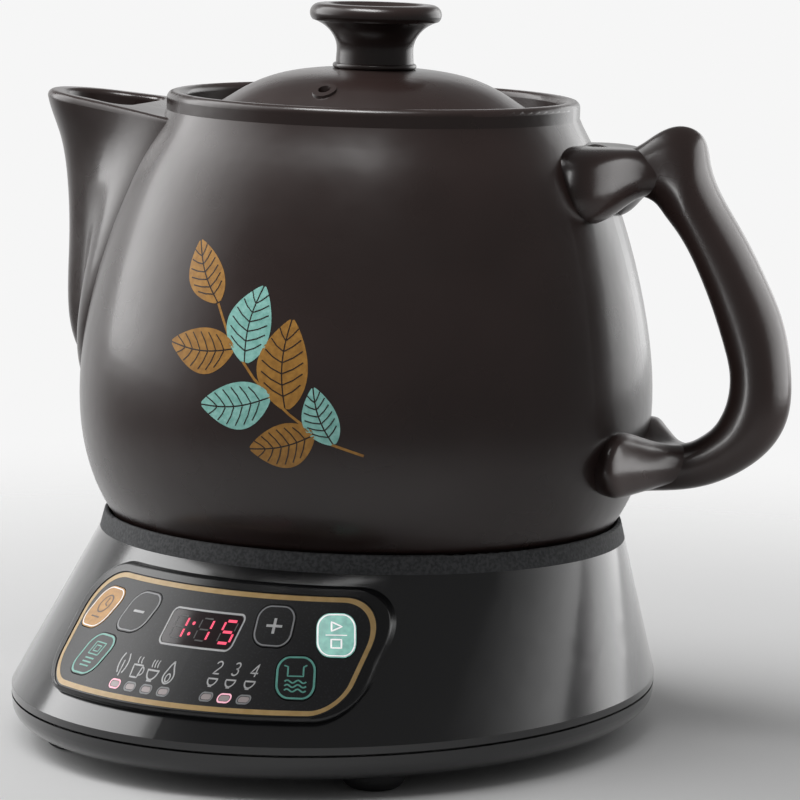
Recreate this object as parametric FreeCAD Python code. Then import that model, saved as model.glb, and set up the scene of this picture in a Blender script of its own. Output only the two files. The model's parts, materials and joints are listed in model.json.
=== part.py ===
import FreeCAD, Part
import math
import os

# Electric herbal medicine pot: a stoneware pot with a drop-in lid on a separate heating base.
# Millimetres, +Z up. Everything is drawn about the pot's own axis, with the table at z = 0.
# The front (control panel) faces -Y; the handle points along +X and the spout along -X,
# both turned by pot_turn, because the pot may stand at any angle on its base.
# The last step moves all pieces together so that the origin is the footprint's centre.

V = FreeCAD.Vector
UP = V(0, 0, 1)
ORIGIN = V(0, 0, 0)

# ---------------------------------------------------------------- driving dimensions
# fits
seat_gap = 0.3            # between pieces of different bodies that rest on each other
slip_gap = 0.5            # lid edge in its recess, all round
key_gap = 0.25            # round each key

# pot
pot_seat_z = 59.0         # underside of the pot above the table
pot_turn = 8.7            # pot turned on its base, degrees
pot_wall = 6.0
pot_floor = 7.0
foot_r = 62.0             # flat part of the underside
corner_r = 34.6           # rounding of the lower corner
corner_turn = 53.0        # how far that rounding turns, degrees
low_h, low_r = 36.5, 100.0
belly_h, belly_r = 59.0, 102.5
waist_h, waist_r = 93.0, 98.4
shoulder_h, shoulder_r = 127.0, 88.6
high_h, high_r = 146.5, 79.9
neck_h, neck_r = 158.4, 73.4
neck_slope = 0.38         # how fast the wall still draws in where the collar begins
rim_h = 164.8             # top of the rim above the pot's underside
rim_round = 2.4
recess_r = 67.6           # wall round the lid
recess_depth = 12.2
mouth_r = 60.5
ledge_t = 4.4             # lid ledge at the mouth's edge
ledge_foot_h = 8.0        # the ledge's underside runs out to the wall over this height
floor_piece_h = 13.0      # the wall's own piece starts here, out of sight behind the top ring

# spout: a broad beak luted on the wall, open on top
spout_wall = 6.0
spout_tip_h = 162.6       # lip height at the tip and where it meets the collar
spout_root_h = 157.2
spout_round = 2.2
# height above the pot's underside, reach of the nose, nose half width, half width at the wall
spout_stations = [
    (55.0, 99.0, 9.0, 13.0),
    (62.0, 105.5, 13.0, 20.0),
    (71.0, 110.8, 16.5, 27.0),
    (88.0, 113.6, 19.5, 33.0),
    (108.0, 113.4, 21.0, 36.5),
    (128.0, 114.2, 22.5, 38.5),
    (147.0, 117.8, 24.0, 38.0),
    (168.0, 122.8, 25.0, 36.0),
]
spout_flare = 5.0         # the sides run out on the wall in a hollow curve
spout_floor_h = 72.0
spout_bridge_r = 86.5     # the spout's hollow ends here, before the collar
strainer_hole_r = 2.8
strainer_pitch = 11.0
strainer_rows = 3
strainer_h = 116.0        # middle of the strainer

# handle: each station joins a point of the outer line to one of the inner line (reach, height), with the width
handle_stations = [
    (78.0, 149.6, 78.0, 133.6, 20.0),
    (89.0, 150.0, 89.0, 134.0, 19.0),
    (97.0, 151.2, 97.0, 134.2, 18.0),
    (104.0, 156.0, 101.5, 133.2, 17.6),
    (112.5, 159.0, 105.0, 131.0, 18.6),
    (119.9, 155.9, 107.8, 127.6, 19.8),
    (123.0, 146.5, 111.2, 123.6, 20.4),
    (128.6, 133.7, 116.8, 115.6, 20.4),
    (136.2, 121.8, 122.2, 105.0, 20.2),
    (145.2, 105.6, 127.4, 92.4, 20.2),
    (151.4, 91.0, 131.4, 80.6, 20.4),
    (154.6, 73.0, 133.2, 71.0, 20.5),
    (153.8, 58.8, 132.0, 62.2, 20.5),
    (148.4, 48.2, 128.6, 55.2, 20.5),
    (138.6, 39.6, 124.0, 51.0, 20.4),
    (127.4, 34.0, 119.4, 48.4, 20.4),
    (114.0, 31.0, 112.0, 47.4, 20.6),
    (100.0, 29.2, 100.0, 47.2, 20.8),
    (88.0, 28.4, 88.0, 47.0, 21.0),
]
# The handle flares into a lobed root on the wall. The wide outline is its right half, as distance
# from the handle's middle and height, from the notch between the lobes round to the far side; the
# slim one is an oval inside the handle, as middle height, half height and half width. The run says
# how far the outline has drawn in (0 wide, 1 slim) at each reach.
upper_root_wide = [(0.0, 131.0), (9.0, 127.0), (17.0, 124.3), (24.0, 126.3), (28.3, 132.5), (28.3, 140.5),
                   (25.5, 147.0), (18.0, 150.4), (0.0, 150.6)]
upper_root_slim = (142.6, 7.6, 8.2)
upper_root_run = [(68.0, 0.0), (82.0, 0.0), (87.0, 0.05), (91.0, 0.20), (95.0, 0.46), (98.0, 0.68),
                  (101.0, 0.84), (105.0, 0.95), (110.0, 1.0)]
lower_root_wide = [(0.0, 47.2), (9.0, 49.8), (18.0, 52.8), (27.0, 52.6), (34.5, 48.0), (37.5, 41.0),
                   (33.5, 33.8), (20.0, 30.4), (0.0, 29.4)]
lower_root_slim = (41.0, -6.6, 8.6)
lower_root_run = [(82.0, 0.0), (98.0, 0.0), (104.0, 0.16), (108.0, 0.42), (112.0, 0.68), (116.0, 0.86),
                  (120.0, 0.95), (126.0, 1.0)]

# lid
lid_flange_t = 4.0
lid_wall = 5.0
lid_skirt_h = 9.0
lid_skirt_t = 4.0
lid_dome = [(61.0, 4.2), (52.7, 9.4), (46.3, 13.4), (34.3, 18.5), (20.7, 20.9)]
lid_top_h = 21.3          # flat crown that carries the knob, above the lid's seat
lid_top_r = 14.0
vent_r = 2.2
vent_rim_r = 4.2
vent_rim_h = 0.9
vent_place_r = 43.0       # from the lid's axis
vent_place_deg = -96.0
knob_bead_r = 14.9
knob_bead_h = 2.0
knob_waist_r = 13.8
knob_rim_r = 23.4
knob_h = 22.8             # above the lid's crown
knob_rim_h = 5.8
knob_dish_r = 15.5
knob_dish_depth = 4.5

# heating base, outside
ring_z = 67.7             # underside of the top ring
ring_r = 94.3             # its outside there
ring_crest_z = 74.2
ring_crest_r = 92.1
ring_pot_gap = 1.1
crease_z = 18.7           # where the slope turns down into the low band
base_half_x = 108.5
base_half_y = 135.9
base_back_shift = -17.0   # centre of the base's lower oval, towards the front
band_low_z = 16.2
part_gap = 0.8
floor_z = 6.7             # underside of the bottom cover
floor_t = 2.5
cover_round = 6.5
shell_wall = 2.5
rebate = 1.5
screw_share_x = 0.72
screw_share_y = 0.52
boss_r = 4.5
screw_r = 1.6
screw_head_r = 3.4
screw_head_t = 2.2

# feet
foot_pad_r = 11.0
foot_pad_flat_r = 6.5
foot_share_x = 0.53
foot_share_y = 0.64
foot_stem_r = 3.6
foot_stem_h = 3.4

# heating parts
plate_r = 62.0
plate_t = 6.0
dish_t = 1.5
dish_gap = 1.2            # between dish and pot
dish_lip = 8.0            # the plate's edge rests on this lip
deck_inner_r = 88.6
deck_outer_r = 92.2
element_r = 38.0
element_tube_r = 4.0
element_bend = 8.0
element_open_deg = 22.0
element_end_z = 33.0
tab_w, tab_t, tab_h = 6.3, 0.8, 8.0
shield_r = 74.0
shield_t = 0.8
shield_z = 39.6
shield_hole_r = 16.0
sensor_hole_r = 12.4
sensor_r = 11.6
sensor_cap_t = 2.4
sensor_skirt_h = 8.0
cup_r = 13.2
cup_t = 1.0
cup_floor_z = 33.5
cup_flange_r = 18.0
cup_hole_r = 3.0
spring_r = 7.6
spring_wire_r = 0.7
spring_turns = 5
cutout_r = 7.6
cutout_t = 7.0
cutout_place_r = 26.2

# control panel, drawn as seen from the front (x, z), and as layers along the slope's normal
panel_half = 59.2
panel_low_z = 25.4
panel_high_z = 64.2
panel_low_corner = 11.5
panel_high_corner = 16.5
bezel_w = 3.2
bezel_round = 1.8
pad_rise = 2.4
film_t = 0.6
pad_lip = 0.3
window_inset = 6.0
board_drop = 1.5          # board's face below the shell's outside
board_t = 1.6
key_rise = 0.1
key_travel = 0.5
dome_r = 3.2
key_half = 6.7
key_corner = 4.7
key_stretch = 1.35         # keys are taller than wide on the slope, to look round from the front
keys = {
    "key_timer": (-45.3, 49.0),
    "key_minus": (-28.1, 50.1),
    "key_plus": (23.2, 50.8),
    "key_start": (43.2, 49.0),
    "key_function": (-38.6, 36.4),
    "key_water": (37.3, 36.8),
}
display_x, display_z = -0.9, 49.9
display_half_x = 13.3
display_half_z = 4.7
display_corner = 1.8
display_inset = 1.4
led_half_x, led_half_z = 1.7, 0.75
led_z = 32.0
led_places = [-23.3, -16.7, -10.0, -3.3, 12.6, 18.8, 25.2]
pillar_r = 2.0

# power board in the base
pcb_half_x = 50.0
pcb_back_y = -82.0
pcb_front_y = -125.0
pcb_z = 17.0
pcb_t = 1.6
pcb_post_r = 3.5
pcb_edge = 5.0

# mains inlet at the back
inlet_half_x = 17.5
inlet_low_z = 22.0
inlet_high_z = 50.0
inlet_face_y = 101.0
inlet_back_y = 78.0
inlet_lip = 2.2
socket_half_x = 12.3
socket_half_z = 8.6
socket_depth = 16.0
pin_half_w, pin_half_t = 2.0, 1.0
pin_pitch = 7.0
pin_drop = 2.0


# ---------------------------------------------------------------- helpers
def wire_of(points):
    return Part.makePolygon([V(*p) for p in points] + [V(*points[0])])


def turned(edges):
    """Solid of revolution about Z from edges drawn in the XZ plane."""
    face = Part.Face(Part.Wire(edges))
    return face.revolve(ORIGIN, UP, 360)


def turned_outline(points):
    """Solid of revolution from (radius, height) corners."""
    wire = wire_of([(r, 0, z) for r, z in points])
    return Part.Face(wire).revolve(ORIGIN, UP, 360)


def line(a, b):
    return Part.makeLine(V(a[0], 0, a[1]), V(b[0], 0, b[1]))


def cylinder(r, low, high, x=0, y=0):
    return Part.makeCylinder(r, high - low, V(x, y, low), UP)


def box(x0, x1, y0, y1, z0, z1):
    return Part.makeBox(x1 - x0, y1 - y0, z1 - z0, V(x0, y0, z0))


def rounded(shape, radius, wanted):
    """Fillets the edges whose middle point passes the test."""
    chosen = []
    for e in shape.Edges:
        mid = e.valueAt((e.FirstParameter + e.LastParameter) / 2)
        if wanted(mid, e):
            chosen.append(e)
    return shape.makeFillet(radius, chosen)


def unit_circle_to(x_axis, y_axis, centre):
    """A closed wire: the unit circle carried to an ellipse with these two half axes."""
    z_axis = x_axis.cross(y_axis)
    z_axis.normalize()
    m = FreeCAD.Matrix(
        x_axis.x, y_axis.x, z_axis.x, centre.x,
        x_axis.y, y_axis.y, z_axis.y, centre.y,
        x_axis.z, y_axis.z, z_axis.z, centre.z,
        0, 0, 0, 1)
    return Part.Wire([Part.makeCircle(1.0).transformGeometry(m).Edges[0]])


def rounded_rectangle(x0, x1, z0, z1, r, top_r=None, y=0.0):
    """Closed wire in the XZ plane with arcs at its corners, of radius r, or top_r at the upper two."""
    widest = min((x1 - x0) / 2 - 0.01, (z1 - z0) / 2 - 0.01)
    q = min(r if top_r is None else top_r, widest)
    r = min(r, widest)
    s = r * (1 - math.sqrt(0.5))
    t = q * (1 - math.sqrt(0.5))
    edges = [
        Part.makeLine(V(x0 + r, y, z0), V(x1 - r, y, z0)),
        Part.Arc(V(x1 - r, y, z0), V(x1 - s, y, z0 + s), V(x1, y, z0 + r)).toShape(),
        Part.makeLine(V(x1, y, z0 + r), V(x1, y, z1 - q)),
        Part.Arc(V(x1, y, z1 - q), V(x1 - t, y, z1 - t), V(x1 - q, y, z1)).toShape(),
        Part.makeLine(V(x1 - q, y, z1), V(x0 + q, y, z1)),
        Part.Arc(V(x0 + q, y, z1), V(x0 + t, y, z1 - t), V(x0, y, z1 - q)).toShape(),
        Part.makeLine(V(x0, y, z1 - q), V(x0, y, z0 + r)),
        Part.Arc(V(x0, y, z0 + r), V(x0 + s, y, z0 + s), V(x0 + r, y, z0)).toShape(),
    ]
    return Part.Wire(edges)


def grouped(shapes):
    return Part.makeCompound(shapes)


# ---------------------------------------------------------------- the pot's profile
def wall_curve(inset):
    """The wall's curve above the rounded corner, moved inwards by inset, as heights above the seat."""
    turn = math.radians(corner_turn)
    start = (foot_r + corner_r * math.sin(turn), corner_r * (1 - math.cos(turn)))
    points = [start, (low_r, low_h), (belly_r, belly_h), (waist_r, waist_h),
              (shoulder_r, shoulder_h), (high_r, high_h), (neck_r, neck_h)]
    ends = dict(InitialTangent=V(math.cos(turn), 0, math.sin(turn)),
                FinalTangent=V(-neck_slope, 0, math.sqrt(1 - neck_slope ** 2)), Scale=False)
    outer = Part.BSplineCurve()
    outer.interpolate(Points=[V(r, 0, h) for r, h in points], **ends)
    if inset == 0:
        return outer
    moved = []
    for r, h in points:
        t = outer.tangent(outer.parameter(V(r, 0, h)))[0]
        moved.append(V(r - inset * t.z, 0, h + inset * t.x))
    inner = Part.BSplineCurve()
    inner.interpolate(Points=moved, **ends)
    return inner


def corner_arc(inset):
    """The rounded lower corner, moved inwards by inset, from the flat outwards."""
    turn = math.radians(corner_turn)
    r = corner_r - inset
    place = [V(foot_r + r * math.sin(a), 0, corner_r - r * math.cos(a)) for a in (0, turn / 2, turn)]
    return Part.Arc(*place).toShape()


def wall_radius(h, inset=0.0):
    """Radius of the wall at a height above the seat."""
    curve = wall_curve(inset)
    low, high = curve.FirstParameter, curve.LastParameter
    for _ in range(40):
        mid = (low + high) / 2
        if curve.value(mid).z < h:
            low = mid
        else:
            high = mid
    return curve.value(low).x


def pot_outside(inset=0.0):
    """The pot as a full solid, without mouth or hollow, moved inwards by inset; it ends at the neck."""
    arc = corner_arc(inset)
    curve = wall_curve(inset).toShape()
    start = arc.Vertexes[0].Point
    end = curve.Vertexes[-1].Point
    edges = [
        line((0, start.z), (start.x, start.z)),
        arc,
        curve,
        line((end.x, end.z), (end.x, rim_h)),
        line((end.x, rim_h), (0, rim_h)),
        line((0, rim_h), (0, start.z)),
    ]
    return turned(edges)


def lifted(shape):
    """From heights above the pot's underside to heights above the table."""
    shape = shape.copy()
    shape.translate(V(0, 0, pot_seat_z))
    return shape


def on_pot(shape, extra=0.0):
    """Turns a piece drawn along +X to where the pot stands, and lifts it."""
    shape = shape.copy()
    shape.rotate(ORIGIN, UP, pot_turn + extra)
    return lifted(shape)


def pot_form():
    """The pot's outer form as a full solid, with its collar."""
    return turned([
        line((0, 0), (foot_r, 0)),
        corner_arc(0),
        wall_curve(0).toShape(),
        line((neck_r, neck_h), (neck_r, rim_h)),
        line((neck_r, rim_h), (0, rim_h)),
        line((0, rim_h), (0, 0)),
    ])


def pot_room():
    """The room inside the wall, without the ledge, and the lid's recess above it."""
    arc = corner_arc(pot_wall)
    curve = wall_curve(pot_wall).toShape()
    start = arc.Vertexes[0].Point
    end = curve.Vertexes[-1].Point
    room = turned([
        line((0, start.z), (start.x, start.z)),
        arc,
        curve,
        line((end.x, end.z), (0, end.z)),
        line((0, end.z), (0, start.z)),
    ])
    ledge_h = rim_h - recess_depth
    room = room.common(cylinder(belly_r, pot_floor, ledge_h))
    return room, cylinder(recess_r, ledge_h, rim_h + 1)


def pot_floor_piece():
    """Floor and lower corner; floor, wall and ledge are one body of clay and meet face to face."""
    room, recess = pot_room()
    return lifted(pot_form().cut(room).common(cylinder(belly_r, 0, floor_piece_h)))


def pot_body():
    """The wall from the lower corner up to the rim."""
    room, recess = pot_room()
    wall = pot_form().cut(room).cut(recess).cut(cylinder(belly_r, -1, floor_piece_h))
    wall = rounded(wall, rim_round, lambda m, e: abs(m.z - rim_h) < 0.01)
    return on_pot(wall).cut(grouped(strainer_holes()))


def pot_ledge():
    """The ring inside the collar that carries the lid."""
    room, recess = pot_room()
    ledge_h = rim_h - recess_depth
    under_h = ledge_h - ledge_t
    foot_h = under_h - ledge_foot_h
    outer = wall_radius(foot_h, pot_wall)
    ring = turned_outline([(outer, foot_h), (mouth_r, under_h), (mouth_r, ledge_h), (outer, ledge_h)])
    return lifted(ring.common(room))


def strainer_holes():
    """Drills through the wall behind the spout, in rows of two and three."""
    holes = []
    for row in range(strainer_rows):
        h = strainer_h + (row - (strainer_rows - 1) / 2) * strainer_pitch * 0.866
        count = 2 if row % 2 == 0 else 3
        for i in range(count):
            t = (i - (count - 1) / 2) * strainer_pitch
            drill = Part.makeCylinder(strainer_hole_r, 60, V(50, t, h), V(1, 0, 0))
            holes.append(on_pot(drill, 180))
    return holes


def spout_section(half, h):
    """Closed section: a curve through half's points, its mirror image, and a straight back."""
    points = half + [(x, -y) for x, y in reversed(half[:-1])]
    curve = Part.BSplineCurve()
    curve.interpolate(Points=[V(x, y, h) for x, y in points])
    close = Part.makeLine(V(points[-1][0], points[-1][1], h), V(points[0][0], points[0][1], h))
    return Part.Wire([curve.toShape(), close])


def spout_nose(nose, side):
    """Points round the nose of a section, from its side to its tip."""
    return [(nose - side * 0.55, side * 0.86), (nose - side * 0.13, side * 0.48), (nose, 0.0)]


def spout_form():
    """Outside of the beak from horizontal sections, drawn along +X; the sides run out on the wall."""
    wires = []
    for h, nose, side, root in spout_stations:
        wall_x = math.sqrt(wall_radius(min(h, neck_h)) ** 2 - root ** 2)
        half = [
            (wall_x - 2 * spout_wall, root + spout_flare),
            (wall_x, root + spout_flare * 0.5),
            (wall_x + (nose - wall_x) * 0.3, root + (side - root) * 0.42),
        ]
        wires.append(spout_section(half + spout_nose(nose, side), h))
    return Part.makeLoft(wires, True, False)


def spout_hollow():
    """Channel inside the beak; its back is straight and stands clear of the collar."""
    wires = []
    back = spout_bridge_r
    for h, reach, nose_half, root in spout_stations:
        if h < spout_floor_h:
            continue
        nose, side = reach - spout_wall, nose_half - spout_wall
        wall_x = math.sqrt(wall_radius(min(h, neck_h)) ** 2 - root ** 2)
        root_y = root - 1.25 * spout_wall
        slope = (side * 0.86 - root_y) / (nose - side * 0.55 - wall_x)
        back_y = root_y + slope * (back - wall_x)
        middle_x = back + 0.45 * (nose - back)
        half = [
            (back, back_y - 5.0),
            (back + 3.0, back_y - 1.2),
            (middle_x, root_y + slope * (middle_x - wall_x)),
        ]
        wires.append(spout_section(half + spout_nose(nose, side), h))
    return Part.makeLoft(wires, True, False)


def pot_spout():
    shell = spout_form().cut(spout_hollow()).cut(pot_outside())
    tip_r = spout_stations[-1][1]
    lean = math.atan2(spout_tip_h - spout_root_h, tip_r - neck_r)
    above = box(-80, 200, -100, 100, 0, 60)
    above.rotate(ORIGIN, V(0, 1, 0), -math.degrees(lean))
    above.translate(V(0, 0, spout_root_h - neck_r * math.tan(lean)))
    shell = shell.cut(above)
    shell = max(shell.Solids, key=lambda s: s.Volume)

    def on_lip(m, e):
        level = spout_root_h + (m.x - neck_r) * math.tan(lean)
        return abs(m.z - level) < 0.4 and m.x > spout_bridge_r - 2 and e.Length > 20
    shell = rounded(shell, spout_round, on_lip)
    return on_pot(shell, 180)


def handle_root(wide, slim, run):
    """Lobed foot of the handle: its outline draws in from wide to slim along the reach."""
    middle_h, half_h, half_w = slim
    wires = []
    for reach, share in run:
        half = []
        for i, (t, h) in enumerate(wide):
            a = math.pi * i / (len(wide) - 1)
            slim_t, slim_h = half_w * math.sin(a), middle_h - half_h * math.cos(a)
            half.append((t + (slim_t - t) * share, h + (slim_h - h) * share))
        left = [(-t, h) for t, h in reversed(half[1:-1])]
        outline = Part.BSplineCurve()
        outline.interpolate(Points=[V(reach, t, h) for t, h in half + left], PeriodicFlag=True)
        wires.append(Part.Wire([outline.toShape()]))
    return Part.makeLoft(wires, True, False).cut(pot_outside())


def pot_handle():
    wires = []
    for outer_r, outer_h, inner_r, inner_h, wide in handle_stations:
        outer, inner = V(outer_r, 0, outer_h), V(inner_r, 0, inner_h)
        wires.append(unit_circle_to((outer - inner) / 2, V(0, wide / 2, 0), (outer + inner) / 2))
    arm = Part.makeLoft(wires, True, False)
    arm = arm.cut(pot_outside())
    arm = max(arm.Solids, key=lambda s: s.Volume)
    upper = handle_root(upper_root_wide, upper_root_slim, upper_root_run)
    lower = handle_root(lower_root_wide, lower_root_slim, lower_root_run)
    handle = arm.fuse([upper, lower])
    return on_pot(handle.removeSplitter())


# ---------------------------------------------------------------- the lid
def lid_seat_h():
    return rim_h - recess_depth + seat_gap


def lid_dome_curve(inset):
    """The dome's curve from its edge to the crown, moved inwards, heights above the lid's seat."""
    outer = Part.BSplineCurve()
    points = [V(r, 0, h) for r, h in lid_dome] + [V(lid_top_r, 0, lid_top_h)]
    slope = dict(InitialTangent=V(-0.8, 0, 0.55), FinalTangent=V(-1, 0, 0), Scale=False)
    outer.interpolate(Points=points, **slope)
    if inset == 0:
        return outer
    moved = []
    for p in points:
        t = outer.tangent(outer.parameter(p))[0]
        moved.append(V(p.x - inset * t.z, 0, p.z + inset * t.x))
    inner = Part.BSplineCurve()
    inner.interpolate(Points=moved, **slope)
    return inner


def lid_solid():
    edge_r = recess_r - slip_gap
    skirt_r = mouth_r - slip_gap
    outer = lid_dome_curve(0).toShape()
    inner = lid_dome_curve(lid_wall).toShape()
    dome_edge = (lid_dome[0][0], lid_dome[0][1])
    inner_edge = inner.Vertexes[0].Point
    inner_top = inner.Vertexes[-1].Point
    skirt_in = skirt_r - lid_skirt_t
    solid = turned([
        line((0, 0), (edge_r, 0)),
        line((edge_r, 0), (edge_r, lid_flange_t)),
        line((edge_r, lid_flange_t), dome_edge),
        outer,
        line((lid_top_r, lid_top_h), (0, lid_top_h)),
        line((0, lid_top_h), (0, 0)),
    ])
    hollow = turned([
        line((0, -1), (inner_edge.x, -1)),
        line((inner_edge.x, -1), (inner_edge.x, inner_edge.z)),
        inner,
        line((inner_top.x, inner_top.z), (0, inner_top.z)),
        line((0, inner_top.z), (0, -1)),
    ])
    skirt = turned_outline([(skirt_in, -lid_skirt_h), (skirt_r, -lid_skirt_h),
                            (skirt_r, 0.5), (skirt_in, 0.5)])
    lid = solid.cut(hollow).fuse(skirt)
    lid = rounded(lid, 1.2, lambda m, e: abs(m.z - lid_flange_t) < 0.01 and abs(math.hypot(m.x, m.y) - edge_r) < 0.01)
    a = math.radians(vent_place_deg)
    x, y = vent_place_r * math.cos(a), vent_place_r * math.sin(a)
    crown = cylinder(vent_rim_r, 2, lid_top_h, x, y)
    raised = lid_dome_curve(-vent_rim_h).toShape()
    raised_edge = raised.Vertexes[0].Point
    raised_top = raised.Vertexes[-1].Point
    over = turned([
        line((0, 0), (raised_edge.x, 0)),
        line((raised_edge.x, 0), (raised_edge.x, raised_edge.z)),
        raised,
        line((raised_top.x, raised_top.z), (0, raised_top.z)),
        line((0, raised_top.z), (0, 0)),
    ])
    lid = lid.fuse(crown.common(over).cut(hollow))
    lid = lid.cut(cylinder(vent_r, -5, lid_top_h + 5, x, y))
    return lid.removeSplitter()


def lid():
    shape = lid_solid()
    shape.translate(V(0, 0, lid_seat_h()))
    return on_pot(shape)


def lid_knob():
    base = lid_top_h
    top = base + knob_h
    rim_low = top - knob_rim_h
    neck_r = lid_top_r - 0.2
    bead_top = base + knob_bead_h
    bead = Part.Arc(V(neck_r, 0, base), V(knob_bead_r, 0, base + knob_bead_h / 2), V(neck_r, 0, bead_top))
    flare = Part.BSplineCurve()
    flare.interpolate(Points=[V(neck_r, 0, bead_top), V(knob_waist_r, 0, base + 8.6),
                              V(knob_waist_r + 3.4, 0, base + 14.2), V(knob_rim_r - 1.0, 0, rim_low)],
                      InitialTangent=V(0, 0, 1), FinalTangent=V(1, 0, 0.3), Scale=False)
    rim = Part.Arc(V(knob_rim_r - 1.0, 0, rim_low), V(knob_rim_r, 0, rim_low + 2.4), V(knob_rim_r - 3.2, 0, top))
    dish_edge = knob_dish_r + 1.6
    dish_ball = (dish_edge ** 2 + knob_dish_depth ** 2) / (2 * knob_dish_depth)
    half_way = dish_edge / 2
    half_z = top - knob_dish_depth + dish_ball - math.sqrt(dish_ball ** 2 - half_way ** 2)
    dish = Part.Arc(V(dish_edge, 0, top), V(half_way, 0, half_z), V(0, 0, top - knob_dish_depth))
    knob = turned([
        line((0, base), (neck_r, base)),
        bead.toShape(),
        flare.toShape(),
        rim.toShape(),
        line((knob_rim_r - 3.2, top), (dish_edge, top)),
        dish.toShape(),
        line((0, top - knob_dish_depth), (0, base)),
    ])
    knob.translate(V(0, 0, lid_seat_h()))
    return on_pot(knob)


# ---------------------------------------------------------------- the base's outer form
def base_run(side):
    """Horizontal run of the slope between ring and crease: front, back or side."""
    return {
        "front": base_half_y - base_back_shift - ring_r,
        "back": base_half_y + base_back_shift - ring_r,
        "side": base_half_x - ring_r,
    }[side]


def slope_share(side, grow):
    """Horizontal move that shifts the sloping surface outwards by grow along its normal."""
    return grow * math.hypot(base_run(side), ring_z - crease_z) / (ring_z - crease_z)


def base_section(z, grow=0.0, at=None):
    """The base's oval at a height, moved outwards by grow. at is where the wire lies, if elsewhere."""
    t = (ring_z - z) / (ring_z - crease_z)
    front = ring_r + base_run("front") * t + slope_share("front", grow)
    back = ring_r + base_run("back") * t + slope_share("back", grow)
    side = ring_r + base_run("side") * t + slope_share("side", grow)
    centre = V(0, (back - front) / 2, z if at is None else at)
    return unit_circle_to(V(0, -(front + back) / 2, 0), V(side, 0, 0), centre)


def slope_solid(low, high, grow=0.0):
    return Part.makeLoft([base_section(low, grow), base_section(high, grow)], True, True)


def base_layer(inner, outer, low=crease_z, high=ring_z + 6.0):
    """The space between two surfaces parallel to the slope."""
    return slope_solid(low, high, outer).cut(slope_solid(low - 3, high + 3, inner))


def front_prism(wire):
    """An outline drawn in the XZ plane, pushed through the front of the base."""
    prism = Part.Face(wire).extrude(V(0, -110, 0))
    prism.translate(V(0, -60, 0))
    return prism


def panel_outline(inset):
    return rounded_rectangle(-panel_half + inset, panel_half - inset, panel_low_z + inset * 0.7,
                             panel_high_z - inset * 0.7, panel_low_corner - inset * 0.7,
                             panel_high_corner - inset * 0.7)


def slope_point(x, z, grow=0.0):
    """Point on the front of the base, and the outward normal there."""
    def at(px, pz):
        t = (ring_z - pz) / (ring_z - crease_z)
        front = ring_r + base_run("front") * t + slope_share("front", grow)
        back = ring_r + base_run("back") * t + slope_share("back", grow)
        side = ring_r + base_run("side") * t + slope_share("side", grow)
        half = (front + back) / 2
        return V(px, (back - front) / 2 - half * math.sqrt(1 - (px / side) ** 2), pz)
    here = at(x, z)
    along = at(x + 0.01, z) - here
    upward = at(x, z + 0.01) - here
    normal = along.cross(upward)
    normal.normalize()
    return here, normal


def key_outline(name, extra):
    """A key's rounded square, pushed along the key's own axis."""
    x, z = keys[name]
    half = key_half + extra
    middle, normal = slope_point(x, z)
    across = V(-normal.y, normal.x, 0)
    across.normalize()
    upward = normal.cross(across)
    if upward.z < 0:
        upward = upward * -1
    wire = rounded_rectangle(-half, half, -half, half, key_corner + extra)
    face = Part.Face(wire)
    if across.x < 0:
        across = across * -1
    tall = upward * key_stretch
    m = FreeCAD.Matrix(
        across.x, -normal.x, tall.x, middle.x,
        across.y, -normal.y, tall.y, middle.y,
        across.z, -normal.z, tall.z, middle.z,
        0, 0, 0, 1)
    face = face.transformGeometry(m)
    face.translate(normal * -8)
    return face.extrude(normal * 16)


def boss_places():
    return [(sx * base_half_x * screw_share_x, base_back_shift + sy * base_half_y * screw_share_y)
            for sx in (-1, 1) for sy in (-1, 1)]


def foot_places():
    return [(sx * base_half_x * foot_share_x, base_back_shift + sy * base_half_y * foot_share_y)
            for sx in (-1, 1) for sy in (-1, 1)]


def base_housing():
    outer = Part.makeLoft([base_section(ring_z), base_section(crease_z),
                           base_section(crease_z, at=band_low_z)], True, True)
    deck_z = ring_z - rebate
    inner_top = deck_z - shell_wall
    inner = Part.makeLoft([base_section(inner_top, -shell_wall), base_section(crease_z, -shell_wall),
                           base_section(crease_z, -shell_wall, at=band_low_z - 1)], True, True)
    shell = outer.cut(inner)
    shell = shell.cut(cylinder(deck_inner_r, inner_top - 5, ring_z + 5))
    shell = shell.cut(cylinder(deck_outer_r, deck_z, ring_z + 5))
    bosses = []
    for x, y in boss_places():
        post = cylinder(boss_r, floor_z + floor_t + seat_gap, ring_z, x, y).common(inner)
        post = post.cut(cylinder(screw_r, floor_z, floor_z + 30, x, y))
        bosses.append(post.cut(cylinder(deck_inner_r, 0, 100)))
    shell = shell.fuse(bosses)
    shell = shell.cut(front_prism(panel_outline(window_inset)))
    return shell.cut(inlet_block(seat_gap * 0.5)).removeSplitter()


def inlet_block(grow=0.0):
    return box(-inlet_half_x - grow, inlet_half_x + grow, inlet_back_y, inlet_face_y + 60,
               inlet_low_z - grow, inlet_high_z + grow)


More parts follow.
